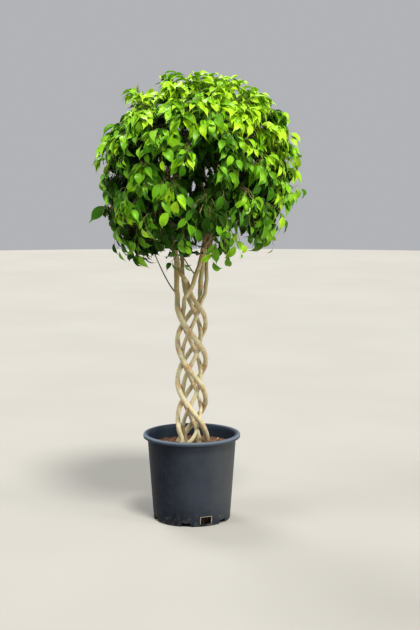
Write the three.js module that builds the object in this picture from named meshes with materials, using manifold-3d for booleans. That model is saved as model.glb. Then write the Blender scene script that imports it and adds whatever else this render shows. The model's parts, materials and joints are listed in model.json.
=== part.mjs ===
// Potted braided weeping fig: six slender stems plaited into an open lattice column, a round
// weeping crown of foliage masses on forked boughs, and a round nursery pot filled with potting mix.
// Millimetres, +Z up. The origin is the middle of the pot's flat underside; the front is -Y, and
// angles round the plant are counted from the front towards +X.

import * as THREE from 'three';
import { mergeVertices } from 'three/addons/utils/BufferGeometryUtils.js';
import Module from 'manifold-3d';

const wasm = await Module();
wasm.setup();

// Clearances between separate pieces; a limb's cutter is fatter by CUTTER_SHARE of the fit gap, so
// that its flat facets keep the gap too
const FIT_GAP = 0.3;
const CUTTER_SHARE = 1.1;
const CELL_GAP = 2.4;
const LIMB_GAP = 3;
const WELD = 1e-4;

// Pot
const POT_HEIGHT = 267;
const RIM_RADIUS = 150;
const WALL_TOP_RADIUS = 138;
const FOOT_RADIUS = 119;
const FOOT_BEVEL = 3;
const POT_WALL = 2.6;
const BASE_THICKNESS = 3.6;
const LIP_HEIGHT = 11;
const LIP_ROUND = 3;
const POT_SEGMENTS = 36;
const DRAIN_CUT_DEPTH = 24;
const NOTCHES = 6;
const NOTCH_ANGLE = -8;
const NOTCH_WIDTH = 30;
const NOTCH_HEIGHT = 12;
const WINDOWS = 3;
const WINDOW_ANGLE = 22;
const WINDOW_WIDTH = 34;
const WINDOW_SILL = 7;
const WINDOW_HEIGHT = 23;

// Soil
const SOIL_LEVEL = 233;
const SOIL_EDGE_DROP = 5;
const SOIL_FLAT_RADIUS = 80;

// Braid of the stems
const BRAID_RADIUS = 35.5;
const BRAID_PITCH = 354;
const BRAID_DATUM = 709;
const BRAID_SWAP = 680;
const CROSSING_SPAN = 42;
const CROSSING_HOLD = 9;
const CROSSING_GAP = 1.7;
const CROSSING_SEARCH = 90;
const STRAIGHTEN_SPAN = 14;
const SPREAD_SPAN = 62;
const CROWN_SPLAY_START = 800;
const CROWN_SPLAY_SLOPE = 0.2;
const STEM_STEP = 20;
const STEM_SIDES = 6;
const ROOT_FLARE = 0.36;
const ROOT_FLARE_HEIGHT = 20;

// Each stem: hand -1 turns towards +X on its way down the front, +1 towards -X. column is the angle at
// the datum height. It turns between the two straight heights, and stands off by topRadius once it has
// left the braid above spreadFrom. radii are at the soil, at mid height and at the fork. A stray is a
// bend out of the helix.
const STEMS = [
  {
    name: 'stem_1', hand: -1, column: -130, straight: [284, 679], spreadFrom: 655, topRadius: 46, fork: 868,
    radii: [6.8, 8, 8.2], stray: { height: 480, width: 40, turn: 4 },
  },
  {
    name: 'stem_2', hand: -1, column: -10, straight: [180, 770], spreadFrom: 714, topRadius: 44, fork: 884,
    radii: [8.4, 7, 6], stray: { height: 748, width: 26, turn: 18 },
  },
  {
    name: 'stem_3', hand: 1, column: -10, straight: [180, 766], spreadFrom: 714, topRadius: 39, fork: 874,
    radii: [5.8, 6.3, 7], stray: { height: 762, width: 32, turn: -15 },
  },
  {
    name: 'stem_4', hand: -1, column: 110, straight: [180, 743], spreadFrom: 714, topRadius: 33, fork: 890,
    radii: [8, 7.6, 6.4], stray: { height: 560, width: 40, turn: 5 },
  },
  {
    name: 'stem_5', hand: 1, column: 110, straight: [180, 699], spreadFrom: 714, topRadius: 46, fork: 862,
    radii: [5, 5.8, 6], stray: { height: 222, width: 32, turn: -14 },
  },
  {
    name: 'stem_6', hand: 1, column: 230, straight: [180, 702], spreadFrom: 714, topRadius: 42, fork: 880,
    radii: [6.6, 6.4, 6], stray: { height: 470, width: 40, turn: -5 },
  },
];

// Crown: a rounded body about its own centre, fuller below than above
const CROWN_CENTRE = new THREE.Vector3(14, 0, 1078);
const CROWN_RADIUS = 318;
const CROWN_RISE = 294;
const CROWN_DROP = 297;
const ROUNDNESS_ABOVE = 2.2;
const ROUNDNESS_BELOW = 3;
// Where the crown swells out (+) or falls in (-), as a share of its reach, and how wide in degrees
const CROWN_SWELLS = [
  { angle: -90, elevation: 36, change: -0.11, width: 20 },
  { angle: -90, elevation: -20, change: 0.07, width: 18 },
  { angle: 90, elevation: 38, change: 0.03, width: 22 },
  { angle: 10, elevation: 30, change: -0.05, width: 25 },
  { angle: 150, elevation: 10, change: 0.03, width: 25 },
];
const HEART_SHARE = 0.36;
const TRUNK_CLEARING = 78;
const LOW_RING = { prefix: 'foliage_low', count: 6, first: -90, elevation: -22 };
const HIGH_RING = { prefix: 'foliage_high', count: 6, first: -60, elevation: 33 };

// Boughs: the stem that carries each mass of the low ring, of the high ring and the top one. A stem's
// last bough is its leader, and the others fork off below it.
const LOW_BEARERS = ['stem_1', 'stem_2', 'stem_3', 'stem_5', 'stem_5', 'stem_6'];
const HIGH_BEARERS = ['stem_2', 'stem_3', 'stem_4', 'stem_5', 'stem_6', 'stem_1'];
const TOP_BEARER = 'stem_4';
const FORK_STEP = 24;
const LEADER_DROP = 3;
const LEADER_SPREAD = 0.1;
const SIDE_SPREAD = 0.7;
const BOUGH_SIDES = 5;
const BOUGH_STEPS = 5;
const BOUGH_ROOT_SHARE = 0.72;
const BOUGH_TIP_RADIUS = 3.2;
const BOUGH_LEAD = 0.42;

// Side twigs that leave the braid below the crown: stem, height of the foot, tip, radii
const SIDE_TWIGS = [
  { name: 'side_twig_left', stem: 'stem_1', height: 702, tip: new THREE.Vector3(-127, -16, 862) },
  { name: 'side_twig_middle', stem: 'stem_3', height: 762, tip: new THREE.Vector3(-35, -64, 838) },
];
const SIDE_TWIG_RADII = [2.6, 1.5];
const SIDE_TWIG_LEAD = 0.15;

// Shoots and leaves of the masses
const SHOOTS = 70;
const LOWEST_SHOOT = -50;
const GOLDEN_ANGLE = 180 * (3 - Math.sqrt(5));
const MASS_STEM_END = 0.66;
const MASS_STEM_RADII = [3.2, 3];
const MASS_STEM_STEPS = 3;
const MASS_STEM_SEAT = 6;
const SHOOT_RADII = [3, 2.2];
const SHOOT_STEPS = 2;
const SHOOT_BEND = 0.55;
const SHOOT_ARCH = { least: 20.4, most: 47.6 };
const SHOOT_SETBACK = { top: 20, level: 34, skirt: 76, spread: 26 };
const STEM_SHARE = 0.85;
const WIDEST_TURN = 0.75;
const TWIG_SIDES = 3;
const LEAF_PLACES = [0.42, 0.62, 0.81, 0.98];
const LEAF_LENGTH = { least: 104, most: 120 };
const LEAF_SIZES = [1, 0.75];
const LEAF_WIDTH_SHARE = 0.55;
const LEAF_THICKNESS_SHARE = 0.016;
const LEAF_WIDEST = 0.42;
const LEAF_FOLD = 0.05;
const LEAF_CURL = 0.14;
const LEAF_SINK = 0.9;
const LEAF_LOOKS_UP = 0.35;
const LEAF_HANG_SPREAD = 0.4;
const DRIFT_AWAY = 0.4;
// Which numbered choice of a shoot each varied measure reads
const CHOICES = { setback: 1, arch: 2, hang: 20, length: 40 };
// Ways to lay a leaf, tried in turn: its shares outwards, down the crown's outside and sideways
const LEAF_LAYS = [
  { outwards: 0.45, downhill: 0.8, sideways: 0.6 },
  { outwards: 0.25, downhill: 0.5, sideways: 1 },
  { outwards: 0.45, downhill: 1, sideways: 0.1 },
  { outwards: 0.3, downhill: 0, sideways: 1 },
  { outwards: 0.4, downhill: 0.8, sideways: -0.6 },
  { outwards: 0.4, downhill: -0.4, sideways: 0.8 },
  { outwards: 0.1, downhill: 0.9, sideways: -0.2 },
  { outwards: 0.1, downhill: 0.2, sideways: -1 },
];

const UP = new THREE.Vector3(0, 0, 1);
// No limb starts along this direction, so its first ring is laid out from it
const RING_REFERENCE = new THREE.Vector3(0.31, 0.95, 0.05);
const BARK = new THREE.MeshStandardMaterial({ color: 0xb39b6d, roughness: 0.8, metalness: 0 });
const YOUNG_BARK = new THREE.MeshStandardMaterial({ color: 0x6f6137, roughness: 0.8, metalness: 0 });
const LEAF_GREEN = new THREE.MeshStandardMaterial({ color: 0x2f6a12, roughness: 0.35, metalness: 0 });
const SUNLIT_GREEN = new THREE.Color(0x7fb51b);
const SHADED_BELOW = -0.4;
const POT_PLASTIC = new THREE.MeshStandardMaterial({ color: 0x1f2226, roughness: 0.5, metalness: 0 });
const POTTING_MIX = new THREE.MeshStandardMaterial({ color: 0x4b3022, roughness: 1, metalness: 0 });

const part = new THREE.Group();

function addMesh(name, solid, material) {
  const mesh = new THREE.Mesh(geometryOf(solid), material);
  mesh.name = name;
  part.add(mesh);
}

// Solids from closed geometries, and back

function solidOf(geometry) {
  const bare = geometry.clone();
  bare.deleteAttribute('normal');
  bare.deleteAttribute('uv');
  const merged = mergeVertices(bare, WELD);
  const corners = merged.index.array;
  const kept = [];
  for (let i = 0; i < corners.length; i += 3) {
    const [a, b, c] = corners.slice(i, i + 3);
    if (a !== b && b !== c && c !== a) kept.push(a, b, c);
  }
  const vertProperties = merged.attributes.position.array;
  return new wasm.Manifold(new wasm.Mesh({ numProp: 3, vertProperties, triVerts: new Uint32Array(kept) }));
}

function geometryOf(solid) {
  const mesh = solid.getMesh();
  const geometry = new THREE.BufferGeometry();
  geometry.setAttribute('position', new THREE.BufferAttribute(mesh.vertProperties, 3));
  geometry.setIndex(new THREE.BufferAttribute(mesh.triVerts, 1));
  geometry.computeVertexNormals();
  return geometry;
}

// Joins pieces, and keeps the largest closed skin: loose scraps go, and sealed hollows are filled.
function fused(pieces) {
  const joined = pieces.reduce((whole, piece) => whole.add(piece));
  return joined.decompose().reduce((best, skin) => (skin.volume() > best.volume() ? skin : best));
}

// Small maths

function around(angle, radius, height) {
  const turn = THREE.MathUtils.degToRad(angle);
  return new THREE.Vector3(radius * Math.sin(turn), -radius * Math.cos(turn), height);
}

function direction(angle, elevation) {
  const lift = THREE.MathUtils.degToRad(elevation);
  return around(angle, Math.cos(lift), Math.sin(lift));
}

// A repeatable value from 0 to 1 for the numbered item and the numbered choice.
function chance(item, choice) {
  const wave = Math.sin(item * 127.1 + choice * 311.7) * 43758.5453;
  return wave - Math.floor(wave);
}

function between({ least, most }, share) {
  return THREE.MathUtils.lerp(least, most, share);
}

function softMin(value, limit, span) {
  return -span * Math.log(Math.exp(-(value - limit) / span) + 1) + limit;
}

function wrapDegrees(angle) {
  return THREE.MathUtils.euclideanModulo(angle + 180, 360) - 180;
}

function curvePoints(from, control, to, steps) {
  return new THREE.QuadraticBezierCurve3(from, control, to).getPoints(steps);
}

function taper([start, end], count) {
  return Array.from({ length: count }, (_, i) => THREE.MathUtils.lerp(start, end, i / (count - 1)));
}

// Limbs: rings square to the path, carried along it without twist, joined and closed at both ends.
// flatFoot lays the first ring in the level plane of the path's first point.
function limbGeometry(path, radii, sides, flatFoot = false) {
  const count = path.length;
  const tangents = path.map((_, i) => {
    const ahead = path[Math.min(i + 1, count - 1)];
    return ahead.clone().sub(path[Math.max(i - 1, 0)]).normalize();
  });
  let side = new THREE.Vector3().crossVectors(tangents[0], RING_REFERENCE).normalize();
  const vertices = [];
  for (let i = 0; i < count; i += 1) {
    side = side.clone().addScaledVector(tangents[i], -side.dot(tangents[i])).normalize();
    const other = new THREE.Vector3().crossVectors(tangents[i], side);
    for (let k = 0; k < sides; k += 1) {
      const turn = (2 * Math.PI * k) / sides;
      const point = path[i].clone();
      point.addScaledVector(side, radii[i] * Math.cos(turn));
      point.addScaledVector(other, radii[i] * Math.sin(turn));
      if (flatFoot && i === 0) point.addScaledVector(tangents[0], (path[0].z - point.z) / tangents[0].z);
      vertices.push(point.x, point.y, point.z);
    }
  }
  const faces = [];
  const last = (count - 1) * sides;
  for (let k = 0; k < sides; k += 1) {
    const next = (k + 1) % sides;
    for (let low = 0; low < last; low += sides) {
      const high = low + sides;
      faces.push(low + k, low + next, high + next, low + k, high + next, high + k);
    }
    if (k > 0 && next > 0) faces.push(0, next, k, last, last + k, last + next);
  }
  const geometry = new THREE.BufferGeometry();
  geometry.setAttribute('position', new THREE.Float32BufferAttribute(vertices, 3));
  geometry.setIndex(faces);
  return geometry;
}

// Pot: base, tapering wall and a lip that rolls over and down, with drain openings round its foot

function potOuterRadius(height) {
  return THREE.MathUtils.mapLinear(height, FOOT_BEVEL, POT_HEIGHT, FOOT_RADIUS, WALL_TOP_RADIUS);
}

function latheSolid(profile) {
  const outline = profile.map(([radius, height]) => new THREE.Vector2(radius, height));
  return solidOf(new THREE.LatheGeometry(outline, POT_SEGMENTS).rotateX(Math.PI / 2));
}

function drainCutter(angle, width, sill, height) {
  const middle = around(angle, FOOT_RADIUS, sill + height / 2);
  const box = new THREE.BoxGeometry(width, DRAIN_CUT_DEPTH, height);
  box.rotateZ(THREE.MathUtils.degToRad(angle));
  return solidOf(box.translate(middle.x, middle.y, middle.z));
}

function makePot() {
  const lipFoot = POT_HEIGHT - LIP_HEIGHT;
  const underLip = POT_HEIGHT - POT_WALL;
  const shell = latheSolid([
    [0, 0],
    [FOOT_RADIUS - FOOT_BEVEL, 0],
    [FOOT_RADIUS, FOOT_BEVEL],
    [potOuterRadius(underLip), underLip],
    [RIM_RADIUS - POT_WALL, underLip],
    [RIM_RADIUS - POT_WALL, lipFoot],
    [RIM_RADIUS, lipFoot],
    [RIM_RADIUS, POT_HEIGHT - LIP_ROUND],
    [RIM_RADIUS - LIP_ROUND, POT_HEIGHT],
    [potOuterRadius(POT_HEIGHT) - POT_WALL, POT_HEIGHT],
    [potOuterRadius(BASE_THICKNESS) - POT_WALL, BASE_THICKNESS],
    [0, BASE_THICKNESS],
  ]);
  let pot = shell;
  for (let i = 0; i < NOTCHES; i += 1) {
    pot = pot.subtract(drainCutter(NOTCH_ANGLE + (360 / NOTCHES) * i, NOTCH_WIDTH, 0, NOTCH_HEIGHT));
  }
  for (let i = 0; i < WINDOWS; i += 1) {
    const angle = WINDOW_ANGLE + (360 / WINDOWS) * i;
    pot = pot.subtract(drainCutter(angle, WINDOW_WIDTH, WINDOW_SILL, WINDOW_HEIGHT));
  }
  addMesh('pot', pot, POT_PLASTIC);
}

// Soil: fills the pot inside, level round the stems and a little lower at the wall

function makeSoil() {
  const floor = BASE_THICKNESS + FIT_GAP;
  const edge = SOIL_LEVEL - SOIL_EDGE_DROP;
  const inset = POT_WALL + FIT_GAP;
  addMesh('soil', latheSolid([
    [0, floor],
    [potOuterRadius(floor) - inset, floor],
    [potOuterRadius(edge) - inset, edge],
    [SOIL_FLAT_RADIUS, SOIL_LEVEL],
    [0, SOIL_LEVEL],
  ]), POTTING_MIX);
}

// Stems: two families of helices that cross in three columns. Each stem bends outwards or inwards
// where it passes another by half of their thickness together.

function stemAngle(stem, height) {
  const [lowest, highest] = stem.straight;
  const below = softMin(height, highest, STRAIGHTEN_SPAN);
  const turned = -softMin(-below, -lowest, STRAIGHTEN_SPAN) - BRAID_DATUM;
  const { turn, width } = stem.stray;
  const away = (height - stem.stray.height) / width;
  return stem.column + (stem.hand * 360 * turned) / BRAID_PITCH + turn * Math.exp(-(away ** 2));
}

function stemRadius(stem, height) {
  const [foot, middle, tip] = stem.radii;
  const mid = (SOIL_LEVEL + stem.fork) / 2;
  const lower = THREE.MathUtils.mapLinear(height, SOIL_LEVEL, mid, foot, middle);
  const upper = THREE.MathUtils.mapLinear(height, mid, stem.fork, middle, tip);
  const flare = 1 + ROOT_FLARE * Math.exp(-(height - SOIL_LEVEL) / ROOT_FLARE_HEIGHT);
  return (height < mid ? lower : upper) * flare;
}

function crossings(stem) {
  const found = [];
  for (const other of STEMS.filter((candidate) => candidate.hand !== stem.hand)) {
    const apart = (height) => wrapDegrees(stemAngle(stem, height) - stemAngle(other, height));
    for (let height = SOIL_LEVEL; height < stem.fork; height += 1) {
      const [here, above] = [apart(height), apart(height + 1)];
      if (here < 0 !== above < 0 && Math.abs(here) < CROSSING_SEARCH) {
        const outside = (height < BRAID_SWAP) === (stem.hand < 0);
        const room = stemRadius(stem, height) + stemRadius(other, height) + CROSSING_GAP;
        found.push({ height, shift: (outside ? room : -room) / 2 });
      }
    }
  }
  return found;
}

function stemPath(stem) {
  const passes = crossings(stem);
  const foot = SOIL_LEVEL + FIT_GAP;
  const steps = Math.round((stem.fork - foot) / STEM_STEP);
  const path = [];
  for (let i = 0; i <= steps; i += 1) {
    const height = foot + ((stem.fork - foot) * i) / steps;
    const spread = THREE.MathUtils.smoothstep(height - stem.spreadFrom, 0, SPREAD_SPAN);
    let radius = THREE.MathUtils.lerp(BRAID_RADIUS, stem.topRadius, spread);
    radius += Math.max(0, height - CROWN_SPLAY_START) * CROWN_SPLAY_SLOPE;
    for (const pass of passes) {
      const away = Math.max(0, Math.abs(height - pass.height) - CROSSING_HOLD);
      const near = Math.min(1, away / CROSSING_SPAN);
      radius += (pass.shift * (1 + Math.cos(Math.PI * near))) / 2;
    }
    path.push(around(stemAngle(stem, height), radius, height));
  }
  return path;
}

// Every limb is kept as a path with radii, for the pieces that have to stay clear of it.
const limbs = [];

function keepLimb(name, path, radii) {
  const limb = { name, path, radii };
  limbs.push(limb);
  return limb;
}

function makeStems() {
  for (const stem of STEMS) {
    const path = stemPath(stem);
    const radii = path.map((point) => stemRadius(stem, point.z));
    keepLimb(stem.name, path, radii);
    addMesh(stem.name, solidOf(limbGeometry(path, radii, STEM_SIDES, true)), BARK);
  }
}

// The limb's own shape made fatter and longer by the fit gap, to cut the root of what grows from it.
function clearanceOf(limb, sides) {
  const path = limb.path.map((point) => point.clone());
  const [before, tip] = path.slice(-2);
  tip.addScaledVector(tip.clone().sub(before).normalize(), FIT_GAP);
  const fatter = limb.radii.map((radius) => radius + CUTTER_SHARE * FIT_GAP);
  return solidOf(limbGeometry(path, fatter, sides, true));
}

function pointAtHeight(limb, height) {
  const i = Math.max(1, limb.path.findIndex((point) => point.z >= height));
  const [low, high] = [limb.path[i - 1], limb.path[i]];
  return low.clone().lerp(high, (height - low.z) / (high.z - low.z));
}

// A limb that grows out of a stem: it leaves along the stem, bends over and ends at its tip.
function makeBranch(name, stemName, height, tip, radii, spread, lead) {
  const stem = limbs.find((limb) => limb.name === stemName);
  const root = pointAtHeight(stem, height);
  const ahead = root.clone().sub(pointAtHeight(stem, height - STEM_STEP)).normalize();
  const aside = tip.clone().sub(root).setZ(0).normalize();
  ahead.lerp(aside, spread).normalize();
  const control = root.clone().addScaledVector(ahead, root.distanceTo(tip) * lead);
  const path = curvePoints(root, control, tip, BOUGH_STEPS);
  const widths = taper(radii, path.length);
  const limb = keepLimb(name, path, widths);
  const whole = solidOf(limbGeometry(path, widths, BOUGH_SIDES));
  const cut = whole.subtract(clearanceOf(stem, STEM_SIDES));
  addMesh(name, fused([cut]), YOUNG_BARK);
  return limb;
}

// Crown: the masses' directions from its centre, and the space that each mass may fill

const masses = [];

function listMasses() {
  for (const ring of [LOW_RING, HIGH_RING]) {
    for (let i = 0; i < ring.count; i += 1) {
      const angle = ring.first + (360 / ring.count) * i;
      masses.push({ name: `${ring.prefix}_${i + 1}`, heading: direction(angle, ring.elevation) });
    }
  }
  masses.push({ name: 'foliage_top', heading: UP.clone() });
}

// Distance from the crown's centre to its outside along a unit direction.
function crownReach(heading) {
  const power = heading.z > 0 ? ROUNDNESS_ABOVE : ROUNDNESS_BELOW;
  const half = heading.z > 0 ? CROWN_RISE : CROWN_DROP;
  const level = Math.hypot(heading.x, heading.y) / CROWN_RADIUS;
  const round = (level ** power + (Math.abs(heading.z) / half) ** power) ** (-1 / power);
  const swell = CROWN_SWELLS.reduce((sum, { angle, elevation, change, width }) => {
    const away = THREE.MathUtils.radToDeg(heading.angleTo(direction(angle, elevation))) / width;
    return sum + change * Math.exp(-(away ** 2));
  }, 0);
  return round * (1 + swell);
}

function crownPoint(heading, share) {
  return CROWN_CENTRE.clone().addScaledVector(heading, crownReach(heading) * share);
}

function nearestMass(heading) {
  return masses.reduce((best, mass) => (mass.heading.dot(heading) > best.heading.dot(heading) ? mass : best));
}

function inSpace(mass, point) {
  const offset = point.clone().sub(CROWN_CENTRE);
  const heading = offset.clone().normalize();
  const share = offset.length() / crownReach(heading);
  const nearTrunk = point.z < CROWN_CENTRE.z && Math.hypot(point.x, point.y) < TRUNK_CLEARING;
  if (share > 1 || share < HEART_SHARE || nearTrunk) return false;
  return masses.every((other) => {
    if (other === mass) return true;
    const across = mass.heading.clone().sub(other.heading).normalize();
    return offset.dot(across) > CELL_GAP / 2;
  });
}

function clearOfLimbs(points) {
  const closest = new THREE.Vector3();
  const line = new THREE.Line3();
  return points.every((point) => limbs.every(({ path, radii }) => {
    for (let i = 1; i < path.length; i += 1) {
      line.set(path[i - 1], path[i]);
      line.closestPointToPoint(point, true, closest);
      if (closest.distanceTo(point) < radii[i - 1] + LIMB_GAP) return false;
    }
    return true;
  }));
}

// A leaf: an eight-faced blade, folded along its middle, drooping to a drawn-out tip. Its root lies
// sunk past the middle of its twig.
function leafCorners(root, along, face, length) {
  const across = new THREE.Vector3().crossVectors(along, face).normalize();
  const normal = new THREE.Vector3().crossVectors(across, along);
  const at = (forward, sideways, lift) => root.clone()
    .addScaledVector(along, forward * length)
    .addScaledVector(across, sideways * length)
    .addScaledVector(normal, lift * length);
  const half = LEAF_WIDTH_SHARE / 2;
  const thick = LEAF_THICKNESS_SHARE / 2;
  return [
    at(-LEAF_SINK / length, 0, 0),
    at(LEAF_WIDEST, -half, LEAF_FOLD),
    at(LEAF_WIDEST, 0, thick),
    at(LEAF_WIDEST, half, LEAF_FOLD),
    at(LEAF_WIDEST, 0, -thick),
    at(1, 0, -LEAF_CURL),
  ];
}

const LEAF_FACES = [0, 2, 1, 0, 3, 2, 0, 4, 3, 0, 1, 4, 5, 1, 2, 5, 2, 3, 5, 3, 4, 5, 4, 1];

function leafSolid(corners) {
  const geometry = new THREE.BufferGeometry();
  const positions = corners.flatMap((corner) => corner.toArray());
  geometry.setAttribute('position', new THREE.Float32BufferAttribute(positions, 3));
  geometry.setIndex(LEAF_FACES);
  return solidOf(geometry);
}

// Points to test against the limbs: the corners and the middles between them and the blade's middle.
function leafSamples(corners) {
  const middle = corners[2];
  return corners.concat(corners.map((corner) => corner.clone().lerp(middle, 0.5)));
}

// The leaf at a place on a shoot, or nothing where each way to lay it would leave the mass's space
// or touch a limb or another leaf.
function leafOn(mass, shoot, number, place, side) {
  const root = shoot.curve.getPoint(place);
  const forward = shoot.curve.getTangent(place);
  const outward = root.clone().sub(CROWN_CENTRE).normalize();
  const downhill = forward.clone().multiplyScalar(DRIFT_AWAY).sub(UP);
  downhill.addScaledVector(outward, -downhill.dot(outward)).normalize();
  const sideways = new THREE.Vector3().crossVectors(outward, downhill);
  const face = outward.clone().addScaledVector(UP, LEAF_LOOKS_UP);
  const length = between(LEAF_LENGTH, chance(shoot.index, number + CHOICES.length));
  const hang = LEAF_HANG_SPREAD * (chance(shoot.index, number + CHOICES.hang) - 0.5);
  for (const size of LEAF_SIZES) {
    for (const lay of LEAF_LAYS) {
      const along = outward.clone().multiplyScalar(lay.outwards);
      along.addScaledVector(downhill, lay.downhill + hang).addScaledVector(sideways, side * lay.sideways);
      const corners = leafCorners(root, along.normalize(), face, length * size);
      if (corners.every((corner) => inSpace(mass, corner)) && clearOfLimbs(leafSamples(corners))) {
        const leaf = leafSolid(corners);
        if (mass.leaves.every((other) => leaf.intersect(other).isEmpty())) {
          mass.leaves.push(leaf);
          return;
        }
      }
    }
  }
}

// The shoot numbered along a spiral from the crown's top to its skirt: it leaves the mass's stem,
// arches over and droops to its end just inside the crown's outside.
function shootHeading(index) {
  const lowest = Math.sin(THREE.MathUtils.degToRad(LOWEST_SHOOT));
  const rise = THREE.MathUtils.lerp(1, lowest, (index + 0.5) / SHOOTS);
  return direction(GOLDEN_ANGLE * index, THREE.MathUtils.radToDeg(Math.asin(rise)));
}

function shootCurve(mass, index, heading) {
  const farthest = heading.z > 0 ? SHOOT_SETBACK.top : SHOOT_SETBACK.skirt;
  const setback = THREE.MathUtils.lerp(SHOOT_SETBACK.level, farthest, Math.abs(heading.z));
  const spread = SHOOT_SETBACK.spread * (chance(index, CHOICES.setback) - 0.5);
  const end = crownPoint(heading, 1 - (setback + spread) / crownReach(heading));
  const turnAway = Math.min(1, heading.angleTo(mass.heading) / WIDEST_TURN);
  const start = mass.stem.getPoint(1 - STEM_SHARE * turnAway);
  const control = start.clone().lerp(end, SHOOT_BEND);
  control.z += between(SHOOT_ARCH, chance(index, CHOICES.arch));
  return new THREE.QuadraticBezierCurve3(start, control, end);
}

function growMass(mass, bough) {
  const tip = bough.path.at(-1);
  const onward = tip.clone().sub(bough.path.at(-2)).normalize();
  const start = tip.clone().addScaledVector(onward, FIT_GAP);
  const seat = tip.clone().addScaledVector(onward, MASS_STEM_SEAT);
  const end = crownPoint(mass.heading, MASS_STEM_END);
  const control = seat.clone().addScaledVector(onward, seat.distanceTo(end) / 2);
  mass.stem = new THREE.QuadraticBezierCurve3(seat, control, end);
  mass.leaves = [];
  const path = [start, ...mass.stem.getPoints(MASS_STEM_STEPS)];
  const twigs = [solidOf(limbGeometry(path, taper(MASS_STEM_RADII, path.length), TWIG_SIDES))];
  for (let index = 0; index < SHOOTS; index += 1) {
    const heading = shootHeading(index);
    if (nearestMass(heading) !== mass) continue;
    const curve = shootCurve(mass, index, heading);
    const points = curve.getPoints(SHOOT_STEPS);
    if (!points.slice(1).every((point) => inSpace(mass, point)) || !clearOfLimbs(points.slice(1))) continue;
    twigs.push(solidOf(limbGeometry(points, taper(SHOOT_RADII, points.length), TWIG_SIDES)));
    const shoot = { index, curve };
    LEAF_PLACES.forEach((place, number) => leafOn(mass, shoot, number, place, number % 2 ? 1 : -1));
  }
  const material = LEAF_GREEN.clone();
  material.color.lerp(SUNLIT_GREEN, THREE.MathUtils.smoothstep(mass.heading.z, SHADED_BELOW, 1));
  addMesh(mass.name, fused([...twigs, ...mass.leaves]), material);
}

function makeCrown() {
  listMasses();
  const bearers = [...LOW_BEARERS, ...HIGH_BEARERS, TOP_BEARER];
  const boughs = masses.map((mass, i) => {
    const stem = STEMS.find((candidate) => candidate.name === bearers[i]);
    const above = bearers.filter((bearer, k) => bearer === stem.name && k > i).length;
    const drop = LEADER_DROP + FORK_STEP * above;
    const spread = above > 0 ? SIDE_SPREAD : LEADER_SPREAD;
    const radii = [BOUGH_ROOT_SHARE * stem.radii[2], BOUGH_TIP_RADIUS];
    const tip = crownPoint(mass.heading, HEART_SHARE);
    const name = mass.name.replace('foliage', 'bough');
    return makeBranch(name, stem.name, stem.fork - drop, tip, radii, spread, BOUGH_LEAD);
  });
  for (const twig of SIDE_TWIGS) {
    makeBranch(twig.name, twig.stem, twig.height, twig.tip, SIDE_TWIG_RADII, SIDE_SPREAD, SIDE_TWIG_LEAD);
  }
  masses.forEach((mass, i) => growMass(mass, boughs[i]));
}

makePot();
makeSoil();
makeStems();
makeCrown();

export default part;
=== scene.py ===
"""Potted braided weeping fig: the finished surfaces over the solids of the frame.

Sizes here are in millimetres, and the pieces are made in metres. The stems, boughs and shoots
follow the rules that the solids were made by, and are carried on to finer twigs and to leaves of
their real size. Angles round the plant are counted in degrees from the front (-Y) towards +X.
"""
import json
import math

import bpy
import numpy as np
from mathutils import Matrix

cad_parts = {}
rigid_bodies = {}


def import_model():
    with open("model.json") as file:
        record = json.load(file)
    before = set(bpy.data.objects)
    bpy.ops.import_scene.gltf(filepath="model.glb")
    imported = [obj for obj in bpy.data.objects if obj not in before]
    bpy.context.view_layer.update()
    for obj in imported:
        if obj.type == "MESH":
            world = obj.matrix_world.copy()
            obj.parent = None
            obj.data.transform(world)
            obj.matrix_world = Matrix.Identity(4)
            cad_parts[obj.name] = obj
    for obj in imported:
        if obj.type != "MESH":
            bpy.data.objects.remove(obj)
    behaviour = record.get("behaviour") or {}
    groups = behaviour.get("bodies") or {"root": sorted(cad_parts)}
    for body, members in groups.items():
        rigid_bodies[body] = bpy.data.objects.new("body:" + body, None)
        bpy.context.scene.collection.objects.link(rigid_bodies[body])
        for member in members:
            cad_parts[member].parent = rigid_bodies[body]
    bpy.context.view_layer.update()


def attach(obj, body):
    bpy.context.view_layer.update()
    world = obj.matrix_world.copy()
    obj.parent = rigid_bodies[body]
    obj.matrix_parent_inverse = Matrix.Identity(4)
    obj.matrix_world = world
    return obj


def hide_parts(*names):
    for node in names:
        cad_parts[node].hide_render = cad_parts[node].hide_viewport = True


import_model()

MM = 0.001
UP = np.array([0.0, 0.0, 1.0])
FULL_TURN = 6.283

# Camera, from the pot's ellipses in the photograph
CAMERA_PLACE = (0.0565, -4.0, 1.143)
CAMERA_PITCH = 7.24
CAMERA_LENS = 75.14
CAMERA_SENSOR = 36.0

# Lights: the direction each comes from, its strength, its width in degrees and its colour
LIGHTS = {
    "high_light": ((0.22, -0.52, 1.0), 3.2, 14.0, (1.0, 0.98, 0.93)),
    "back_light": ((-0.45, 0.70, 0.90), 1.5, 25.0, (0.98, 0.99, 1.0)),
    "side_light": ((1.0, -0.45, 0.32), 1.9, 24.0, (1.0, 0.98, 0.94)),
    "left_light": ((-1.0, -0.50, 1.1), 0.8, 24.0, (0.95, 0.98, 1.0)),
}
WORLD_COLOUR = (0.94, 0.96, 1.0, 1.0)
WORLD_STRENGTH = 0.47
FLOOR_RINGS = (400.0, 2000.0, 11000.0)
FLOOR_COLUMNS = 96

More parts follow.
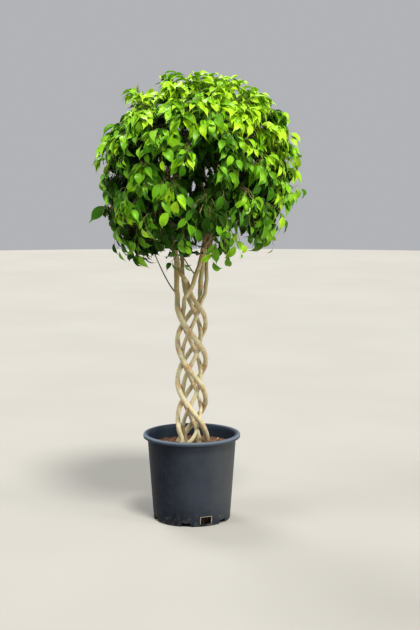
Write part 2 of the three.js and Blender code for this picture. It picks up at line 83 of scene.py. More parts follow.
# Pot
POT_HEIGHT = 267.0
RIM_RADIUS = 150.0
WALL_TOP_RADIUS = 138.0
FOOT_RADIUS = 119.0
FOOT_ROUND = 3.0
POT_WALL = 2.6
BASE_THICKNESS = 3.6
LIP_HEIGHT = 11.0
LIP_BEND = 2.0
LIP_CORNER = 1.0
LIP_THINNING = 0.7
POT_COLUMNS = 300
NOTCH_REPEAT = 50
WINDOW_REPEAT = 100
NOTCH_FIRST_ANGLE = -15.2
NOTCH_COLUMNS = (0, 12)
NOTCH_HEIGHT = 12.0
NOTCH_DEPTH = 12.0
WINDOW_COLUMNS = (24, 38)
WINDOW_SILL = 7.0
WINDOW_TOP = 30.0
FOOT_STEPS = 5
INNER_FOOT_SHIFT = 0.1
INNER_FOOT_RISE = 0.4
LIP_STEPS = 6
BASE_ROWS = (20, 50, 80, 98, FOOT_RADIUS - NOTCH_DEPTH, 112)
WALL_ROWS = (4.5, 7, 9.5, NOTCH_HEIGHT, 18, 24, WINDOW_TOP, 32.5, 45, 60, 80, 100, 125, 150, 175, 200, 220,
             235, 246, 254)
LIP_ROWS = (262.0, 259.5, 257.0, POT_HEIGHT - LIP_HEIGHT)

# Soil
SOIL_LEVEL = 233.0
SOIL_EDGE_DROP = 5.0
SOIL_FLAT_RADIUS = 80.0
SOIL_HOLLOW = 14.0
SOIL_HOLLOW_TOP = WINDOW_TOP + 6.0
SOIL_COLUMNS = 220
SOIL_RINGS = 64
SOIL_ROWS = (205, 160, 110, 60, 40, 34, 20, 8)
# Clods: height, size across and seed
CLODS = ((5.0, 17, 1), (3.4, 7.5, 2), (1.8, 3.4, 3))
CLOD_MIDDLE = 5.1
CALM_AT_WALL = 0.6
CALM_SPAN = 8.0
# Crumbs and chips: how many, how far out, smallest size, growth by chance and its power, flatness,
# lift and first seed
CRUMBS = (900, 127.0, 1.1, 2.9, 2.5, 0.7, 0.0, 21)
CHIPS = (46, 122.0, 1.8, 3.2, 2, 0.5, 0.8, 31)
LARGE_CHIP = (81.0, 90.0, 0.0)
LARGE_CHIP_SIZE = 6.0
LUMP_DENT = 0.72
LUMP_DENT_VARIES = 0.5
LUMP_NARROWING = (0.55, 1.0)
FIBRES = 90
FIBRE_REACH = 116.0
FIBRE_SEED = 41
FIBRE_HALF = 6.0
FIBRE_HALF_VARIES = 11.0
FIBRE_LIFT = 0.4
FIBRE_ARCH = 3.0
FIBRE_RADIUS = 0.42
FIBRE_RINGS = 7
FIBRE_SIDES = 5

# Braid of the stems
BRAID_RADIUS = 35.5
BRAID_PITCH = 354.0
BRAID_DATUM = 709.0
BRAID_SWAP = 680.0
CROSSING_SPAN = 42.0
CROSSING_HOLD = 9.0
CROSSING_GAP = 1.7
CROSSING_SEARCH = 90.0
STRAIGHTEN_SPAN = 14.0
SPREAD_SPAN = 62.0
CROWN_SPLAY_START = 800.0
CROWN_SPLAY_SLOPE = 0.2
ROOT_FLARE = 0.36
ROOT_FLARE_HEIGHT = 20.0
FIT_GAP = 0.3
STEM_SINK = 8.0
STEM_RINGS = 400
STEM_SIDES = 28
STEM_CLOSING = 40.0
ROOT_LOBE = 0.16
ROOT_LOBE_HEIGHT = 13.0
PRESSED_SPAN = 13.0
PRESSED_SWELL = 0.07
SCARS = 15
FIRST_SCAR = SOIL_LEVEL + 40
SCAR_STEP = 38
SCAR_STRAY = 26
SCAR_SPAN = 1.7
SCAR_SWELL = 0.022
SCAR_SWELL_VARIES = 0.03
# A limb's rounded end: how far on its last two rings stand and how wide they are, in its radius
END_PUSHES = (0.6, 0.95)
END_SIZES = (0.8, 0.3)
LIMB_REFERENCE = (0.31, 0.95, 0.05)
CENTIMETRE = 10.0
RELIEF_STEP = 3.0
# Unevenness of bark: turns round the limb, cycles along it and size
BARK_WAVES = ((1, 0.021, 0.018), (2, 0.052, 0.020), (3, -0.083, 0.014), (2, 0.19, 0.010), (5, 0.31, 0.006),
              (4, -0.47, 0.005))

STEMS = {
    "stem_1": dict(hand=-1, column=-130, straight=(284, 679), spread_from=655, top_radius=46, fork=868,
                   radii=(6.8, 8.0, 8.2), stray=(480, 40, 4)),
    "stem_2": dict(hand=-1, column=-10, straight=(180, 770), spread_from=714, top_radius=44, fork=884,
                   radii=(8.4, 7.0, 6.0), stray=(748, 26, 18)),
    "stem_3": dict(hand=1, column=-10, straight=(180, 766), spread_from=714, top_radius=39, fork=874,
                   radii=(5.8, 6.3, 7.0), stray=(762, 32, -15)),
    "stem_4": dict(hand=-1, column=110, straight=(180, 743), spread_from=714, top_radius=33, fork=890,
                   radii=(8.0, 7.6, 6.4), stray=(560, 40, 5)),
    "stem_5": dict(hand=1, column=110, straight=(180, 699), spread_from=714, top_radius=46, fork=862,
                   radii=(5.0, 5.8, 6.0), stray=(222, 32, -14)),
    "stem_6": dict(hand=1, column=230, straight=(180, 702), spread_from=714, top_radius=42, fork=880,
                   radii=(6.6, 6.4, 6.0), stray=(470, 40, -5)),
}

# Crown. Tables of swells, hollows and spots hold an angle, an elevation, a change and a width.
CROWN_CENTRE = np.array([14.0, 0.0, 1078.0])
CROWN_RADIUS = 318.0
CROWN_RISE = 294.0
CROWN_DROP = 297.0
ROUNDNESS_ABOVE = 2.2
ROUNDNESS_BELOW = 3.0
CROWN_SWELLS = ((-90, 36, -0.11, 20), (-90, -20, 0.07, 18), (90, 38, 0.03, 22), (10, 30, -0.05, 25),
                (150, 10, 0.03, 25))
HEART_SHARE = 0.36
LOW_RING = ("low", 6, -90.0, -22.0)
HIGH_RING = ("high", 6, -60.0, 33.0)
LOW_BEARERS = ("stem_1", "stem_2", "stem_3", "stem_5", "stem_5", "stem_6")
HIGH_BEARERS = ("stem_2", "stem_3", "stem_4", "stem_5", "stem_6", "stem_1")
TOP_BEARER = "stem_4"
BEARERS = LOW_BEARERS + HIGH_BEARERS + (TOP_BEARER,)
FORK_STEP = 24.0
LEADER_DROP = 3.0
LEADER_SPREAD = 0.1
SIDE_SPREAD = 0.7
BOUGH_ROOT_SHARE = 0.72
BOUGH_TIP_RADIUS = 3.2
BOUGH_LEAD = 0.42
BOUGH_COLLAR = (0.35, 0.1)
BOUGH_SIDES = 14
BOUGH_RINGS = 40
TANGENT_STEP = 20.0
SIDE_TWIGS = {
    "side_twig_left": ("stem_1", 702.0, (-127.0, -16.0, 862.0)),
    "side_twig_middle": ("stem_3", 762.0, (-35.0, -64.0, 838.0)),
}
SIDE_TWIG_RADII = (2.6, 1.5)
SIDE_TWIG_LEAD = 0.15
SIDE_TWIG_COLLAR = (0.5, 0.06)
SIDE_TWIG_SIDES = 10
SIDE_TWIG_RINGS = 36
MASS_STEM_END = 0.66
MASS_STEM_SEAT = 6.0
MASS_STEM_ROOT = 4.0
MASS_STEM_RADII = (BOUGH_TIP_RADIUS, 2.0)
MASS_STEM_SIDES = 9
MASS_STEM_RINGS = 16
STEM_SHARE = 0.85
WIDEST_TURN = 0.75

# Shoots of the solids, and the finer sprays that grow on from them
SHOOTS = 70
LOWEST_SHOOT = -50.0
GOLDEN_ANGLE = 180.0 * (3.0 - math.sqrt(5.0))
SHOOT_BEND = 0.55
SHOOT_ARCH = (20.4, 47.6)
SHOOT_SETBACK = dict(top=20.0, level=34.0, skirt=76.0, spread=26.0)
SPRAYS = 1150
LOWEST_SPRAY = -64.0
CLUSTERING = 0.22
SPRAY_SETBACK = dict(top=30.0, level=30.0, skirt=26.0, spread=40.0)
SPRAY_DEPTH = 0.5
INNER_SHARE = 0.50
SPRAY_DROOP = (6.0, 44.0)
SPRAY_RADII = (1.1, 0.6)
SPRAY_ARCH = (8.0, 26.0)
SPRAY_STARTS = (0.30, 0.92)
# Long young twigs that stand out of the crown: angle, elevation and share of the crown's reach
STRAY_SPRAYS = (
    (-92, -21, 0.80), (-88, 52, 1.00), (-74, 54, 0.90), (-60, 72, 0.86), (88, -3, 0.90), (86, -12, 0.90),
    (80, 22, 0.92), (62, 58, 0.90), (10, 80, 0.84), (-75, 12, 0.92), (150, 35, 0.92), (-140, 20, 0.93),
    (170, 60, 0.88), (125, 5, 0.93), (-160, -8, 0.93), (-70, -50, 0.94), (35, -46, 0.93), (60, -44, 0.92),
    (-85, 74, 0.78), (-97, 8, 0.92), (92, 8, 0.93), (90, -9, 0.98), (13, -50, 0.97), (22, -47, 0.95))
STRAY_FACING = np.array([0.0, -1.3, 0.0])
FARTHEST_FACING = 0.3
HIGHEST_FACING = 0.6
# Leafy ends of the side twigs: which twig, angle, length and rise
SIDE_SPRAYS = ((0, -100, 26, 6), (0, -60, 22, -6), (0, -150, 24, 12), (1, -20, 22, 2), (1, 30, 20, 8))
# Leafy sprouts on the stems: stem, height and tip
SPROUTS = (("stem_2", 814.0, (-24.0, -54.0, 800.0)), ("stem_2", 810.0, (-62.0, -34.0, 802.0)))
SPROUT_LEAF_SHARE = 0.85
LOW_TWIG_BEND = 0.5
SIDE_SPRAY_ARCH = 5.0
SPROUT_ARCH = 4.0
# Large leaves that stand out of the crown: twig's end, direction, size, bend and turn to the front
LONE_LEAVES = (((-256.0, -20.0, 975.0), (-0.69, -0.10, -0.72), 1.65, 0.45, 2.0),
               ((-88.0, -40.0, 1356.0), (0.90, -0.15, 0.40), 1.25, 1.30, 0.7),
               ((-92.0, -45.0, 1328.0), (0.94, -0.15, 0.30), 1.25, 1.20, 0.7),
               ((-104.0, -50.0, 1330.0), (-0.50, -0.15, -0.85), 1.00, 0.50, 1.6),
               ((-158.0, -30.0, 1330.0), (-0.55, -0.15, -0.82), 1.65, 0.50, 1.6))
LONE_ARCH = 10.0

# Kinds of twig with leaves: leaves on each, place of the first, number that the leaves count from,
# how far out their tips may come (0 for the crown's own limit), and the twig's radii, rings and sides
KINDS = dict(spray=(8, 0.25, 0, 0, SPRAY_RADII, 8, 5),
             shoot=(6, 0.35, 9000, 0, (2.3, 1.5), 12, 7),
             side=(4, 0.20, 12000, 0, SPRAY_RADII, 8, 5),
             stray=(6, 0.15, 14000, 1.12, SPRAY_RADII, 8, 5),
             sprout=(2, 0.80, 16000, 1.12, SPRAY_RADII, 8, 5),
             lone=(1, 1.00, 19137, 1.4, (1.8, 1.2), 8, 5))
FEWEST_LEAVES = 4

# Leaves. A leaf points outwards, downhill and sideways by shares that chance picks. Downhill leans
# along the twig, and less upright on the crown's top.
LEAF_LENGTH = (34.0, 62.0)
LENGTH_POWER = 1.5
STALK_LENGTH = (9.0, 15.0)
LEAF_SHUFFLE = 0.6
LEAF_OUTWARD = (0.45, 1.10)
LEAF_DOWNHILL = (0.85, 1.35)
LEAF_SIDEWAYS = (0.2, 1.15)
ALONG_TWIG = 0.5
LESS_DOWN_ON_TOP = 0.35
TOP_SPAN = (0.55, 0.95)
LEVEL_ON_TOP = 0.55
BENT_ON_TOP = 0.4
LEAF_FACE_UP = 0.75
LEAF_TILT = 1.6
YOUNG_SHORTER = 0.34
YOUNG_SPAN = (0.8, 1.0)
LEAF_BEND = (0.35, 1.6)
STALK_BEND = 0.3
LEAF_TWIST = (-0.75, 0.75)
LEAF_FOLD = (0.12, 0.75)
LEAF_WAVE = 0.12
LEAF_WAVE_TURN = 9.0
LEAF_WIDTH_SHARE = 0.44
LEAF_WIDTH_VARIES = (0.88, 1.14)
LEAF_THICKNESS = 0.55
EDGE_THICKNESS_SHARE = 0.9
STALK_HALVES = (0.45, 0.5)
STALK_MIDDLE = 0.35
OUTLINE_ALONG = np.array([0.0, 0.06, 0.18, 0.35, 0.53, 0.67, 0.78, 1.0])
OUTLINE_WIDTH = np.array([0.08, 0.44, 0.83, 1.00, 0.87, 0.56, 0.20, 0.02])
# Where leaves keep clear of the wood, and the places along a leaf that are looked at
LEAF_CLEARANCE = 7.0
CLEAR_FROM = 640.0
CLEAR_STEP = 6.0
CLEAR_BOUGH_POINTS = 20
CLEAR_BOUGH_RADIUS = 4.0
CLEAR_SHARES = (0.45, 0.75, 1.0)
CLUSTER_HOLLOW = 0.12
CLUSTER_ANGLES = (5.0, 14.0)
LEAF_HOLLOWS = (
    (0, 90, -0.03, 35), (-8, -56, -0.07, 18), (-90, -22, -0.19, 21), (90, -40, -0.06, 16),
    (-62, -58, 0.11, 20), (42, -56, 0.11, 20), (180, -58, 0.06, 45), (9, -6, -0.16, 13),
    (-14, -18, -0.10, 12), (-5, 22, -0.07, 10), (-38, 2, -0.07, 11), (48, -12, -0.07, 11),
    (-82, 42, -0.06, 15), (-88, -2, -0.09, 7), (90, 1, -0.08, 6), (90, -17, -0.07, 6), (-90, 72, -0.15, 12),
    (-65, 60, -0.08, 9), (-115, 60, -0.10, 10), (-90, 54, -0.09, 9), (90, 55, -0.06, 6), (90, 74, -0.05, 6),
    (92, -24, -0.16, 13), (90, 24, -0.05, 8), (90, 66, -0.05, 6), (-90, -12, -0.05, 8), (-60, -52, 0.04, 14))
THIN_SPOTS = (
    (9, -6, 0.95, 13), (-26, -18, 0.7, 9), (38, 2, 0.5, 8), (-52, -6, 0.5, 9), (-8, 20, 0.5, 8),
    (45, -14, 0.7, 8), (44, -50, 0.72, 19), (-60, -38, 0.5, 9), (-15, -50, 0.6, 15), (14, -48, 0.6, 12),
    (171, -6, 0.8, 14), (206, -18, 0.7, 12), (135, -14, 0.6, 10), (195, -48, 0.5, 16), (136, -48, 0.6, 18))
BARE_SPOTS = (
    (30, -33, 0.75, 6), (154, -37, 0.80, 9), (50, -46, 0.75, 12), (130, -50, 0.75, 15), (90, -54, 0.85, 13),
    (70, -54, 0.6, 10), (-56, -42, 0.5, 8), (-124, -42, 0.6, 10), (-30, -46, 0.4, 7), (-150, -46, 0.6, 10))
# Painted light and shade: spots where the leaves are dealt lighter or, with a change below 0, darker greens
PAINTED_LIGHT_SPOTS = (
    (-9, 27, 0.20, 9), (-34, 20, 0.20, 12), (-6, 6, 0.20, 7), (-20, -1, 0.22, 8), (-12, -15, 0.30, 8),
    (-38, -31, 0.40, 9), (28, -39, 0.22, 9), (38, -28, 0.28, 8), (27, -58, -0.45, 13), (36, 2, 0.08, 10),
    (74, -9, 0.20, 12), (44, 27, 0.12, 14), (-52, 8, 0.30, 17), (0, 60, 0.14, 40), (-62, -12, 0.22, 16),
    (-60, -50, 0.25, 10), (42, 18, 0.24, 15), (62, -20, 0.14, 18), (50, 42, 0.12, 16), (-25, 42, 0.12, 16),
    (15, 20, -0.20, 8), (5, -3, -0.24, 10), (22, -3, -0.12, 8), (-14, -32, -0.10, 9), (58, 14, 0.30, 13),
    (76, 33, 0.34, 15), (-62, -32, 0.16, 14), (5, 38, -0.12, 14), (52, -2, -0.22, 10), (-88, 74, -0.45, 8),
    (36, 21, 0.10, 9), (18, 35, -0.15, 12), (50, 12, 0.08, 9), (60, 35, 0.12, 12), (-25, 62, 0.14, 14),
    (36, 62, 0.14, 14), (-50, 35, 0.08, 12), (-46, -2, 0.26, 9), (-46, -21, 0.20, 9))
# How much each thing lightens a leaf's green, where the whole range of greens is 1. Height, the right side,
# depth, the top and the spots are painted light and shade; the shoot, the spray, the leaf and a spray's end
# give the leaves' own tone.
PAINTED_LIGHT_AND_TONE = dict(start=0.47, height=0.18, right=0.10, depth=-2.0, top=0.32, shoot=0.32, spray=0.54, end=0.26,
               leaf=0.36)
DARKER_FROM_DEPTH = 0.07
SUNLIT_TOP = (0.30, 0.85)
TWIG_END = (0.7, 1.0)
SPRAY_EVEN = 0.48
# Leaf greens from the lightest to the darkest, dealt partly as painted light and shade and partly as the
# leaves' own tone from new growth to the heart: upper face, paler underside, and gloss
LEAF_TONES = {
    "leaf_new_and_sunlit": ((0.36, 0.64, 0.010), (0.38, 0.60, 0.040), 0.40),
    "leaf_bright": ((0.215, 0.49, 0.007), (0.25, 0.45, 0.030), 0.42),
    "leaf_fresh_and_lit": ((0.105, 0.31, 0.004), (0.14, 0.31, 0.015), 0.36),
    "leaf_full_and_shaded": ((0.034, 0.138, 0.002), (0.058, 0.17, 0.008), 0.28),
    "leaf_deep": ((0.010, 0.042, 0.001), (0.020, 0.060, 0.003), 0.14),
}
LEAF_SHEEN = (0.80, 1.0, 0.42)
STALK_YELLOW = (0.30, 0.36, 0.07)

# Colours of the pot, from its dark charcoal to the residue on it, with painted light: lighter colours for its
# right side, and a painted sheen and highlight on the lip
CHARCOAL = (0.005, 0.008, 0.014)
MOTTLED = (0.011, 0.015, 0.024)
INNER_WALL = (0.019, 0.029, 0.045)
# Painted light: lighter blue and grey for the right side of the pot's outer wall
PAINTED_LIGHT_BLUE = (0.032, 0.038, 0.051)
PAINTED_LIGHT_GREY = (0.051, 0.057, 0.058)
SCUFF = (0.055, 0.062, 0.072)
# Painted sheen on the lip and a painted highlight on its crest
LIP_PAINTED_SHEEN = (0.040, 0.055, 0.078)
CREST_PAINTED_HIGHLIGHT = (0.125, 0.158, 0.20)
DUST = (0.16, 0.14, 0.10)
RESIDUE = (0.46, 0.41, 0.30)

# Colours of the soil and of what lies on it
MIX_DARK = (0.075, 0.032, 0.019)
MIX_RED = (0.195, 0.088, 0.048)
MIX_BITS = (0.32, 0.19, 0.115)
# Painted shade: the near black of the mix inside the drain windows
MIX_PAINTED_SHADE = (0.018, 0.010, 0.008)
CHIP_BROWN = (0.34, 0.22, 0.13)
GRIT_WHITE = (0.66, 0.60, 0.50)
CHIP_GRAIN = (0.16, 0.10, 0.06)

# Colours of the bark
CREAM = (0.56, 0.49, 0.29)
# Painted shade: the olive tan of the stems under the crown
OLIVE_PAINTED_SHADE = (0.32, 0.235, 0.055)
PALE_PATCH = (0.78, 0.72, 0.50)
GREEN_FILM = (0.37, 0.37, 0.215)
BLOTCH = (0.33, 0.265, 0.115)
STREAK = (0.46, 0.38, 0.19)
SCAR = (0.25, 0.19, 0.085)
PORE = (0.30, 0.20, 0.09)
RUST = (0.42, 0.21, 0.075)
TWIG_DARK = (0.10, 0.072, 0.030)
TWIG_OLIVE = (0.26, 0.195, 0.080)
TWIG_SCAR = (0.05, 0.036, 0.018)
FLOOR_COLOURS = ((0.375, 0.36, 0.325), (0.395, 0.38, 0.345))


def chance(item, choice):
    """A repeatable value from 0 to 1 for each numbered item and choice: the fraction of a large sine."""
    wave = np.sin(np.asarray(item, float) * 127.1 + choice * 311.7) * 43758.5453
    return wave - np.floor(wave)


def phase(item, choice):
    return FULL_TURN * chance(item, choice)


def mix(low, high, share):
    return low + (high - low) * share


def picked(limits, item, choice):
    """A repeatable value between two limits."""
    return mix(*limits, chance(item, choice))


def within(values, low, high):
    return (values >= low) & (values < high)


def unit(vectors):
    return vectors / np.linalg.norm(vectors, axis=-1, keepdims=True)


def dot(a, b):
    return np.sum(a * b, axis=-1, keepdims=True)


def around(angle, radius, height):
    """Points at an angle from the front, a radius from the axis and a height."""
    turn = np.radians(angle)
    x, y, z = np.broadcast_arrays(radius * np.sin(turn), -radius * np.cos(turn), height)
    return np.stack([x, y, z], -1)


def direction(angle, elevation):
    lift = np.radians(elevation)
    return around(angle, np.cos(lift), np.sin(lift))


def smooth(value, low, high):
    share = np.clip((value - low) / (high - low), 0, 1)
    return share * share * (3 - 2 * share)


def round_angles(sides):
    return 2 * np.pi * np.arange(sides) / sides


def ripple(across, along, seed):
    """Gentle unevenness: a sum of sines whose first number is whole, so that it closes round a limb."""
    total = 0
    for k, (turns, cycles, size) in enumerate(BARK_WAVES):
        total = total + size * np.sin(turns * across + cycles * along + phase(seed, k + 3))
    return total


def running(steps):
    """The sum of the steps so far along each row, from 0."""
    return np.pad(np.cumsum(steps, 1), ((0, 0), (1, 0)))


# Making meshes from arrays

def placed(name, data):
    thing = bpy.data.objects.new(name, data)
    bpy.context.scene.collection.objects.link(thing)
    return thing


def piece(name, points, faces, uv=None, finishes=(), dealt=None, sharp=None, marks=None):
    """A mesh object from arrays. points are in millimetres. faces is a list of arrays of corner
    numbers, one row a face. uv holds a pair for each corner in the same order, finishes the
    materials, dealt which of them each face has, and marks a name and a value for each point."""
    mesh = bpy.data.meshes.new(name)
    corners = np.concatenate([rows.ravel() for rows in faces])
    sizes = np.concatenate([np.full(len(rows), rows.shape[1]) for rows in faces])
    mesh.vertices.add(len(points))
    mesh.vertices.foreach_set("co", (points * MM).astype(np.float32).ravel())
    mesh.loops.add(len(corners))
    mesh.loops.foreach_set("vertex_index", corners.astype(np.int32))
    mesh.polygons.add(len(sizes))
    mesh.polygons.foreach_set("loop_start", (np.cumsum(sizes) - sizes).astype(np.int32))
    mesh.polygons.foreach_set("use_smooth", np.ones(len(sizes), bool))
    if uv is not None:
        layer = mesh.uv_layers.new(name="UVMap")
        layer.data.foreach_set("uv", uv.astype(np.float32).ravel())
    for finish in finishes:
        mesh.materials.append(finish)
    if dealt is not None:
        mesh.polygons.foreach_set("material_index", dealt.astype(np.int32))
    mesh.update(calc_edges=True)
    if sharp is not None:
        mesh.set_sharp_from_angle(angle=math.radians(sharp))
    if marks is not None:
        layer = mesh.attributes.new(marks[0], "FLOAT", "POINT")
        layer.data.foreach_set("value", marks[1].astype(np.float32))
    return placed(name, mesh)


def stand_for(thing, slot, *nodes):
    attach(thing, "root")
    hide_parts(*nodes)


def turned(line, columns, first=0.0):
    """A profile of radius and height, row by row, turned round the axis."""
    angles = first + np.arange(columns) * 360.0 / columns
    return around(angles, line[:, :1], line[:, 1:])


def profile(radii, heights):
    return np.stack(np.broadcast_arrays(radii, heights), -1).astype(float)


def cells_of(number):
    """The four corners of each cell between neighbouring rings. number is a grid of point numbers,
    one row a ring, or a stack of such grids, and a ring's last point is next to its first."""
    after = np.roll(number, -1, -1)
    return np.stack([number[..., :-1, :], after[..., :-1, :], after[..., 1:, :], number[..., 1:, :]], -1)


def uv_of_cells(v, sides, turns):
    """The uv of the same corners: u grows by turns in going round a ring, and v is each ring's own."""
    low_u = turns * np.arange(sides) / sides
    high_u = low_u + turns / sides
    low_v, high_v = v[:, :-1, None], v[:, 1:, None]
    corners = ((low_u, low_v), (high_u, low_v), (high_u, high_v), (low_u, high_v))
    return np.stack([np.stack(np.broadcast_arrays(*corner), -1) for corner in corners], -2)


def fan(centre, ring, order=1):
    """Triangles from one point to each side of a ring, turned over where order is -1."""
    sides = np.stack([ring, np.roll(ring, -1)], -1)[:, ::order]
    return np.column_stack([np.full(len(ring), centre), sides])


def on_curve(arcs, places):
    """Points on quadratic arcs, whose rows are start, control and end, at places from 0 to 1."""
    start, control, end = np.moveaxis(arcs, -2, 0)
    t = places[..., None]
    return (1 - t) ** 2 * start + 2 * t * (1 - t) * control + t * t * end


def curve(arcs, places):
    """Many points of each arc. places are the same for all, or a row of them for each arc."""
    return on_curve(arcs[:, None], np.atleast_2d(places))


def arched(start, end, share, rise):
    """Arcs whose control point is a share of the way from start to end, and raised."""
    return np.stack([start, mix(start, end, share) + UP * rise, end], 1)


def tangents_of(paths):
    ahead = np.concatenate([paths[:, 1:], paths[:, -1:]], 1)
    behind = np.concatenate([paths[:, :1], paths[:, :-1]], 1)
    return unit(ahead - behind)


def ended(paths, radii):
    """The same limbs with a rounded end: two rings more, closing in like a quarter circle."""
    onward = unit(paths[:, -1] - paths[:, -2])
    last = radii[:, -1:]
    tips = [paths[:, -1] + onward * last * push for push in END_PUSHES]
    return (np.concatenate([paths] + [tip[:, None] for tip in tips], 1),
            np.concatenate([radii] + [last * size for size in END_SIZES], 1))


def limbs(paths, radii, sides, relief=np.ones((1, 1, 1))):
    """Round limbs: rings of points square to each path, carried along it without twist, each point
    at the limb's radius there times its relief, and both ends closed by a flat face. The relief's
    last ring holds to the end.
    Gives points, faces and uv: once round the limb, and centimetres along it."""
    count, rings = radii.shape
    relief = np.pad(relief, ((0, 0), (0, rings - relief.shape[1]), (0, 0)), "edge")
    tangents = tangents_of(paths)
    side = unit(np.cross(tangents[:, 0], LIMB_REFERENCE))
    turn = round_angles(sides)[:, None]
    rows = []
    for i in range(rings):
        side = unit(side - dot(side, tangents[:, i]) * tangents[:, i])
        other = np.cross(tangents[:, i], side)
        size = radii[:, i, None] * relief[:, i]
        spokes = side[:, None] * np.cos(turn) + other[:, None] * np.sin(turn)
        rows.append(paths[:, i, None] + spokes * size[..., None])
    number = np.arange(count * rings * sides).reshape(count, rings, sides)
    caps = np.concatenate([number[:, 0, ::-1], number[:, -1]])
    along = running(np.linalg.norm(np.diff(paths, axis=1), axis=-1)) / CENTIMETRE
    uv = np.concatenate([uv_of_cells(along, sides, 1).reshape(-1, 2), np.zeros((caps.size, 2))])
    return np.stack(rows, 1).reshape(-1, 3), [cells_of(number).reshape(-1, 4), caps], uv


def limb_relief(paths, sides, seed):
    item = seed + np.arange(len(paths))[:, None, None]
    along = np.arange(paths.shape[1])[:, None] * RELIEF_STEP
    return 1 + ripple(round_angles(sides), along, item)


def together(parts):
    """Several meshes of arrays as one: corner numbers are counted on, and faces kept by their size."""
    points, faces, uvs, count = [], {}, {}, 0
    for some, rows_list, uv in parts:
        taken = 0
        for rows in rows_list:
            faces.setdefault(rows.shape[1], []).append(rows + count)
            uvs.setdefault(rows.shape[1], []).append(uv[taken:taken + rows.size])
            taken += rows.size
        points.append(some)
        count += len(some)
    sizes = sorted(faces)
    return (np.concatenate(points), [np.concatenate(faces[size]) for size in sizes],
            np.concatenate([np.concatenate(uvs[size]) for size in sizes]))


# Finishes

def operator(operation, order=1):
    """A method that adds a Math node of the socket and the other value, if any; -1 turns them over."""
    return lambda self, *other: self.math(operation, *(self, *other)[::order])


class Value:
    """A shader socket as a number: arithmetic on it adds the Math nodes."""

    def __init__(self, finish, socket):
        self.finish = finish
        self.socket = socket

    def math(self, operation, *numbers):
        return self.finish.node("ShaderNodeMath", {"operation": operation}, dict(enumerate(numbers)))

    __add__ = __radd__ = operator("ADD")
    __mul__ = __rmul__ = operator("MULTIPLY")
    __sub__ = operator("SUBTRACT")
    __rsub__ = operator("SUBTRACT", -1)
    __pow__ = operator("POWER")
    __abs__ = operator("ABSOLUTE")

    def above(self, level, width):
        """0 below the level, 1 from level + width on, and a soft step between."""
        settings = {"interpolation_type": "SMOOTHSTEP"}
        return self.finish.node("ShaderNodeMapRange", settings,
                                {"Value": self, "From Min": level, "From Max": level + width})


def with_alpha(tint):
    return tint if isinstance(tint, Value) else (*tint, 1.0)


class Finish:
    """A material being made. node() adds any node: its settings are set first, then the values or
    links of its sockets. surface() links what varies into the shader."""

    def __init__(self, name, gloss, sheen=(1.0, 1.0, 1.0)):
        self.material = bpy.data.materials.new(name)
        self.material.use_nodes = True
        self.tree = self.material.node_tree
        self.shader = next(n for n in self.tree.nodes if n.type == "BSDF_PRINCIPLED")
        self.shader.inputs["Specular IOR Level"].default_value = gloss
        self.shader.inputs["Specular Tint"].default_value = with_alpha(sheen)

    def node(self, kind, settings, sockets, out=0):
        made = self.tree.nodes.new(kind)
        for name, value in settings.items():
            setattr(made, name, value)
        for socket, value in sockets.items():
            if isinstance(value, Value):
                self.tree.links.new(value.socket, made.inputs[socket])
            else:
                made.inputs[socket].default_value = value
        return Value(self, made.outputs[out])

    def coordinates(self, kind="Object"):
        """Where the point is: on the object in metres, or for UV on its unwrapped surface."""
        return self.node("ShaderNodeTexCoord", {}, {}, kind)

    def marks(self, name):
        """A value that the mesh holds for each point."""
        return self.node("ShaderNodeAttribute", {"attribute_name": name}, {}, "Fac")

    def stretched(self, vector, scale):
        return self.node("ShaderNodeMapping", {}, {"Vector": vector, "Scale": scale})

    def axes(self, vector):
        outputs = self.node("ShaderNodeSeparateXYZ", {}, {"Vector": vector}).socket.node.outputs
        return [Value(self, outputs[k]) for k in range(3)]

    def noise(self, vector, scale, detail=3.0, roughness=0.6):
        return self.node("ShaderNodeTexNoise", {},
                         {"Vector": vector, "Scale": scale, "Detail": detail, "Roughness": roughness})

    def cells(self, vector, scale):
        return self.node("ShaderNodeTexVoronoi", {}, {"Vector": vector, "Scale": scale})

    def coats(self, tint, *coats):
        """A colour with others over it in turn, each given after the share that it covers."""
        for share, over in coats:
            sockets = {0: share, 6: with_alpha(tint), 7: with_alpha(over)}
            tint = self.node("ShaderNodeMix", {"data_type": "RGBA", "clamp_factor": True}, sockets, 2)
        return tint

    def surface(self, tint, roughness, relief, strength, depth):
        """Colour, roughness, and a bump of the relief that is so many metres deep."""
        sockets = {"Height": relief, "Strength": strength, "Distance": depth}
        normal = self.node("ShaderNodeBump", {}, sockets)
        for name, value in (("Base Color", tint), ("Roughness", roughness), ("Normal", normal)):
            self.tree.links.new(value.socket, self.shader.inputs[name])
        return self.material


